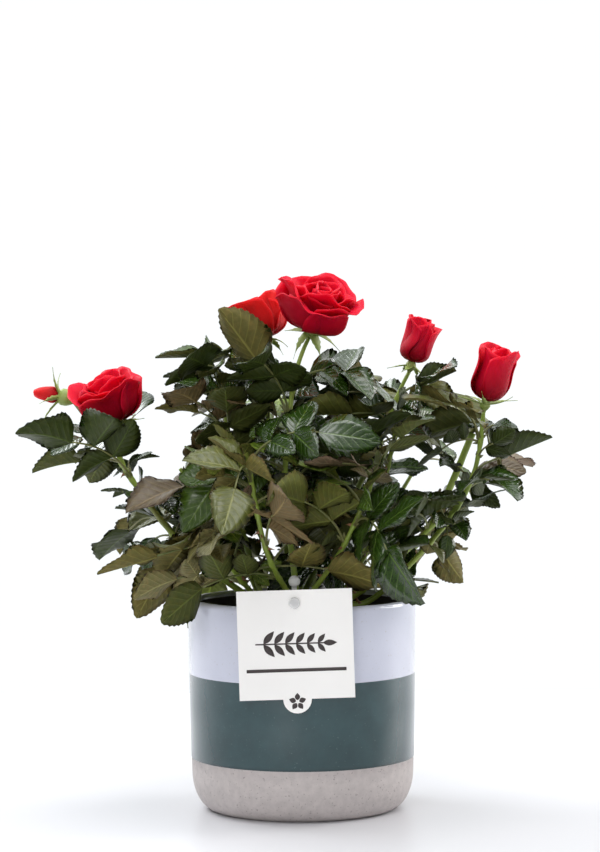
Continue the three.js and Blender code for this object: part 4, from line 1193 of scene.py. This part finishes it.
def leafletShape(seed):
    roll = dice(seed)
    fold, arch, cup = 0.05 + 0.45 * roll() ** 1.5, -0.04 + 0.34 * roll(), 0.7 * (roll() - 0.6)
    twist, wavy, phase = 0.9 * (roll() - 0.5), 0.015 + 0.045 * roll(), 6.3 * roll()
    fat, sway = leafShape['fat'] * (0.88 + 0.2 * roll()), 0.22 * (roll() - 0.5)
    cells = leafShape['cells']
    corners, places = [], []

    def add(u, share, under, tooth=0.0, ahead=0.0):
        half = fat * max(u, 0.003) ** leafShape['base'] * max(1 - u, 0.0005) ** leafShape['tip']
        v = share * half + copysign(tooth, share) * min(half / 0.2, 1)
        rise = fold * abs(v) - arch * u * u + cup * v * v - under * leafShape['thick']
        rise += wavy * sin(9 * u + phase + (2 if v > 0 else 0)) * (v / 0.45) ** 2
        rise += 0.3 * wavy * sin(21 * u + 2 * phase) * abs(v)
        lean = twist * (u - 0.3)
        corners.append((u + ahead, v * cos(lean) - rise * sin(lean) + sway * u * (u - 1),
                        rise * cos(lean) + v * sin(lean)))
        places.append((u, 0.5 + 0.5 * share))
        return len(corners) - 1

    teeth = [(m / (4 * cells), leafShape['tooth'] * (1 if m % 2 else -0.5), 0.02 * (m % 2))
             for m in range(4 * cells + 1)]
    margins = {hand: [add(u, hand, 0.5, tooth, ahead) for u, tooth, ahead in teeth] for hand in (-1, 1)}
    faces, sides = [], []
    for under in (0, 1):
        rib = [add(k / cells, 0, 2 * under) for k in range(cells + 1)]
        for hand in (-1, 1):
            middle = [add(k / cells, hand * 0.55, 1.2 * under) for k in range(cells + 1)]
            for k in range(cells):
                edge = margins[hand][4 * k:4 * k + 5]
                rings = [(rib[k], middle[k], middle[k + 1], rib[k + 1]),
                         (middle[k], edge[0], edge[1], edge[2]), (middle[k], edge[2], middle[k + 1]),
                         (middle[k + 1], edge[2], edge[3], edge[4])]
                flip = (hand > 0) == (under == 0)
                for ring in rings:
                    faces.append(tuple(reversed(ring)) if flip else ring)
                    sides.append(under)
    return np.array(corners), faces, places, sides


def drawFinish(roll, weights):
    draw = roll() * sum(weights.values())
    for finish, weight in weights.items():
        if draw < weight:
            return finish
        draw -= weight
    return 'glossy'


def addStipules(stalks, path, leaf, grown):  # a pair of narrow wings along the foot of the stalk
    along = unit(path[2] - path[0])
    side = unit(cross(along, leaf.end.up))
    for hand in (-1, 1):
        foot, reach = path[0] + side * hand * 0.5, 7.5 * grown
        wing = [foot, foot + along * reach * 0.4 + side * hand * 1.5, foot + along * reach + side * hand * 1.9,
                foot + along * reach * 0.7 + side * hand * 0.3]
        stalks.add([p + leaf.end.up * h for h in (0.12, -0.12) for p in wing],
                   [(0, 1, 2, 3), (7, 6, 5, 4), (0, 4, 5, 1), (1, 5, 6, 2), (2, 6, 7, 3), (3, 7, 4, 0)])


def makeFoliage():
    shapes = [leafletShape(60 + k) for k in range(leafShape['shapes'])]
    materials = leafMaterials()
    names = list(leafFinishes)
    for k, (name, shoot) in enumerate(shoots.items()):
        roll = dice(500 + k)
        foliage, stalks = Bundle(), Bundle()
        weights = leafWeights[shootWeights.get(name, 'usual')]
        for leaf in shoot.grown:
            finish = drawFinish(roll, weights)
            number = 2 * names.index(leaf.finish or finish)
            swings = (8, 4) if leaf.finish else (44, 26)
            for leaflet in leaf.leaflets():
                corners, faces, places, sides = shapes[int(roll() * len(shapes))]
                rolled, nodded = (radians(angle * (roll() - 0.5)) for angle in swings)
                forward = turned(leaflet.forward, leaflet.side, nodded)
                upward = turned(leaflet.up, leaflet.forward, rolled)
                hung = Leaflet(leaflet.root, forward, upward, leaflet.size)
                foliage.add(hung.place(corners), faces, places, [number + side for side in sides])
            path = smoothPath(leaf.stalk, 3)
            grown = leaf.size / leafPlan['size']
            radii = [mix(0.85, 0.5, i / (len(path) - 1)) * (0.7 + 0.3 * grown) for i in range(len(path))]
            radii[0] *= 1.5
            stalks.add(*tube(path, radii, 6))
            addStipules(stalks, path, leaf, grown)
        if name == 'left':
            twig = smoothPath(budTwigPath, 6)
            stalks.add(*tube(twig, [mix(1.3, 1.0, i / (len(twig) - 1)) for i in range(len(twig))], 8, 0.06))
        foliage.piece('foliage_' + name, 'leaf', ['leaves_' + name], materials)
        stalks.piece('stalks_' + name, 'stem', ['leaves_' + name], [stalkGreen.material])


stalk = {'green': (0.16, 0.2, 0.05), 'deep': (0.11, 0.18, 0.04), 'tan': (0.24, 0.19, 0.08)}
stalkGreen = Paint('stalkGreen', stalk['green'], 0.45)
stalkGreen.mottle(stalk['deep'], stalk['tan'], 30.0)
stalkGreen.bump(stalkGreen.noise(700.0), 0.1, 0.4)
makeFoliage()
print('foliage hung')

# Blooms: petals in a spiral, each bent out from its foot, up its side and over at its rim
petalRows = ('count', 'size', 'lean', 'seed', 'length', 'width', 'foot', 'side', 'rim',
             'bend', 'flat', 'wave', 'point', 'belly', 'loose')
petalForms = {  # pairs are for the inner and the outer petal, and bends are degrees from the axis
    'main': (17, 32.6, (0.06, 0.16, 0.05), 736, (0.8, 1.2), (0.8, 1.5), (34, 96), (-6, 28), (-16, 74),
             0.9, (1.0, 1.7), 0.08, 0.12, 0.42, 10),
    'second': (15, 25.0, (-0.18, 0, 0), 733, (0.8, 1.2), (0.8, 1.5), (34, 92), (-6, 24), (-20, 50),
               0.9, (1.0, 1.7), 0.07, 0.12, 0.42, 10),
    'left': (14, 31.0, (-0.06, -0.1, 0), 741, (0.85, 1.12), (0.8, 1.4), (40, 86), (-8, 17), (-16, 62),
             0.9, (1.0, 1.7), 0.06, 0.12, 0.42, 10),
    'goblet': (12, 27.4, (0.06, 0, 0), 704, (1.0, 1.16), (0.8, 1.1), (50, 84), (-8, -6), (-24, 26),
               1.6, (1.0, 1.15), 0.05, 0.5, 0.42, 12),
    'right': (9, 31.0, (0.12, 0, 0), 752, (1.0, 1.16), (0.85, 1.2), (48, 78), (-10, -5), (-16, 20),
              1.6, (1.0, 1.18), 0.05, 0.5, 0.42, 12),
    'bud': (8, 15.5, (0, 0, 0), 703, (0.95, 1.08), (1.0, 1.25), (40, 66), (-8, -10), (-44, -34),
            1.0, (1.0, 1.05), 0.01, 0.12, 0.4, 3),
}
petals = {
    'across': 20, 'along': 12, 'fine': 40, 'thick': 0.35,
    # the warmer pair is brighter than the deep one: a painted glow of light shining through backlit petals
    'deep': ((0.9, 0.002, 0.036), (0.5, 0.001, 0.018)), 'warmBacklit': ((0.95, 0.03, 0.025), (0.72, 0.01, 0.018)),
}


def petalMaterial(name, light, dark):
    paint = Paint(name, light, 0.55, Sheen_Weight=0.03, Sheen_Roughness=0.4, Sheen_Tint=(1, 0.12, 0.12, 1),
                  Specular_IOR_Level=0.12, Subsurface_Weight=0.35, Subsurface_Radius=(1, 0.15, 0.12),
                  Subsurface_Scale=0.0015)
    uv = paint.node('ShaderNodeUVMap', uv_map='UVMap')
    stretched = paint.node('ShaderNodeMapping', Vector=uv, Scale=(38, 2.2, 1))
    streaks = paint.node('ShaderNodeTexNoise', 'Fac', Vector=stretched, Scale=1.0, Detail=3.0)
    high = paint.xyz(uv)[1]
    cloudy = paint.mix(paint.noise(70.0, 2.0), dark, light)
    streaky = paint.mix(streaks * 0.35, cloudy, dark)
    # painted shade: each petal darkens towards its foot, deep in the bloom and on its underside
    deep = paint.mix(((0.95 - high) * 1.1).clamp(), streaky, tuple(0.4 * c for c in dark))
    # paler rims along each petal's edge: partly the petal's own tint, partly a painted highlight
    paint.tint(paint.mix(((high - 0.94) * 7.0).clamp(), deep, (light[0], 0.035, 0.06)))
    paint.bump(streaks, 0.3, 0.5)
    return paint.material


def petalSheet(plan, share, phase, roll):
    height = plan['size']
    length = height * mix(*plan['length'], share)
    width = height * mix(*plan['width'], share) * (0.92 + 0.16 * roll())
    length *= 0.93 + 0.14 * roll()
    foot, side, rim = (radians(mix(*plan[key], share ** plan['bend']) + plan['loose'] * (roll() - 0.5))
                       for key in ('foot', 'side', 'rim'))
    flat, lean, wavePhase = mix(*plan['flat'], share), 0.16 * (roll() - 0.5), 6.3 * roll()
    across, along, fine = petals['across'], petals['along'], petals['fine']
    r, z, line = 0.6 + 1.2 * share, 0.4 * (1 - share), []
    for i in range(fine + 1):  # the petal's middle line in its own upright plane
        v = i / fine
        bend = mix(foot, side, smooth(v / plan['belly'])) + (rim - side) * smooth((v - 0.5) / 0.5)
        line.append(point(r, z, bend))
        r += sin(bend) * length / fine
        z += cos(bend) * length / fine
    corners, places = [], []
    for j in range(along + 1):
        for k in range(across + 1):
            u, v = 2 * k / across - 1, j / along
            tall = 1 - 0.2 * abs(u) ** 2.6 - 0.03 * (1 - exp(-(u / 0.25) ** 2))
            tall += plan['point'] * exp(-(u / 0.16) ** 2) * 0.5
            at = min(v * tall * fine, fine - 1e-6)
            r, z, bend = mix(line[int(at)], line[int(at) + 1], at % 1)
            half = width * 0.5 * (0.3 + 0.7 * sin(pi / 2 * min(v / 0.72, 1)))
            hug = max(r, 1.2) * flat
            angle = max(min(u * half / hug, 2.6), -2.6)
            edge = abs(u) ** 3 * smooth((v - 0.35) / 0.65) * height * share
            ruffle = sin(4.2 * u + wavePhase) * v ** 3 + 0.34 * sin(11 * u + 2 * wavePhase) * v ** 4
            wave = plan['wave'] * height * ruffle
            out = r - hug * (1 - cos(angle)) + (edge * 0.07 + wave) * cos(bend)
            sideways = hug * sin(angle) + lean * v * length * 0.4
            corners.append((out * cos(phase) - sideways * sin(phase),
                            out * sin(phase) + sideways * cos(phase),
                            z - (edge * 0.05 + wave) * sin(bend)))
            places.append((k / across, v))
    wide = across + 1
    faces = [(j * wide + k, (j + 1) * wide + k, (j + 1) * wide + k + 1, j * wide + k + 1)
             for j in range(along) for k in range(across)]
    return np.array(corners), faces, places


def makeRose(bloom, material):
    plan = dict(zip(petalRows, petalForms[bloom.name]))
    roll = dice(plan['seed'])
    bundle = Bundle()
    axis = unit(bloom.axis + point(*plan['lean']))
    side = unit(cross(bloom.across, axis))
    frameRows = np.array([side, cross(axis, side), axis])
    for i in range(plan['count']):
        share = i / (plan['count'] - 1)
        phase = radians(137.5 * i) + 0.35 * (roll() - 0.5)
        corners, faces, places = petalSheet(plan, share, phase, roll)
        bundle.add(bloom.petalFoot + corners @ frameRows, faces, places)
    bundle.piece('rose_' + bloom.name, 'petal', ['bloom_' + bloom.name], [material], petals['thick'])


hips = {  # rows of height and radius, how wide and how long the sepals are, and how far they curl up
    'usual': [(-1.2, 1.1), (0, 1.25), (1.2, 2.3), (3.0, 3.3), (4.6, 3.1), (6.0, 2.5), (6.6, 1.6)],
    'fat': [(-6.5, 1.1), (-4.5, 2.2), (-1.5, 4.0), (1.6, 5.2), (4.4, 5.0), (6.4, 3.6), (7.2, 2.2)],
    'sepals': {'main': (3.5, 1.35, -0.6), 'second': (2.7, 1.0, -0.5), 'left': (2.4, 1.0, 0.0),
               'goblet': (1.9, 1.0, -0.5), 'right': (2.1, 1.0, 0.2), 'bud': (2.1, 1.3, -0.5)},
    'green': (0.36, 0.46, 0.18), 'deep': (0.17, 0.28, 0.04), 'light': (0.38, 0.43, 0.13),
}


def sepalBlade(sepal, wide, long, curl, sway):
    corners, places = [], []
    rows = 12
    for j in range(rows + 1):
        v = j / rows
        half = wide * sin(pi * min(v + 0.18, 1) ** 0.8) * (1 - v) ** 0.4 + 0.25 * (1 - v)
        if 0.25 < v < 0.75 and j % 2:
            half += 0.6
        drop = curl * v * v * sepal.size * 0.5
        middle = sepal.root + sepal.forward * v * sepal.size * long * (1 - 0.2 * abs(curl) * v)
        for share in (-1, 0, 1):
            aside = sepal.side * (share * half + sway * v * v)
            corners.append(middle + aside + sepal.up * (drop + 0.3 * abs(share) * half))
            places.append((v, 0.5 + share / 2))
    faces = [(3 * j + c, 3 * j + c + 1, 3 * j + c + 4, 3 * j + c + 3) for j in range(rows) for c in (0, 1)]
    return corners, faces, places


def makeHip(bloom, seed, material):
    roll = dice(seed)
    bundle = Bundle()
    rows = hips['fat' if bloom.form == 'bud' else 'usual']
    heights, widths = zip(*rows)
    path = smoothPath([bloom.foot + bloom.axis * h for h in heights], 3)
    radii = [float(np.interp((p - bloom.foot) @ bloom.axis, heights, widths)) for p in path]
    bundle.add(*tube(path, radii, 14, 0.05))
    bundle.piece('hip_' + bloom.name, 'calyx', ['calyx_' + bloom.name], [material])
    leaves = Bundle()
    wide, long, curl = hips['sepals'][bloom.name]
    for sepal in bloom.sepals:
        leaves.add(*sepalBlade(sepal, wide * (0.6 + 0.7 * roll()), long * (0.7 + 0.5 * roll()),
                               curl + 1.0 * (roll() - 0.5), 9 * (roll() - 0.5)))
    leaves.piece('sepals_' + bloom.name, 'calyx', ['calyx_' + bloom.name], [material], thickness=0.35)


deepRed = petalMaterial('deepRed', *petals['deep'])
warmBacklitRed = petalMaterial('warmBacklitRed', *petals['warmBacklit'])
calyxGreen = Paint('calyxGreen', hips['green'], 0.5)
calyxGreen.mottle(hips['deep'], hips['light'], 90.0)
calyxGreen.bump(calyxGreen.noise(900.0), 0.12, 0.4)
# the second rose and the bud take the brighter warm red, a painted backlight glow
for k, bloom in enumerate(blooms.values()):
    makeRose(bloom, warmBacklitRed if bloom.name in ('second', 'bud') else deepRed)
    makeHip(bloom, 750 + k, calyxGreen.material)
print('roses opened')
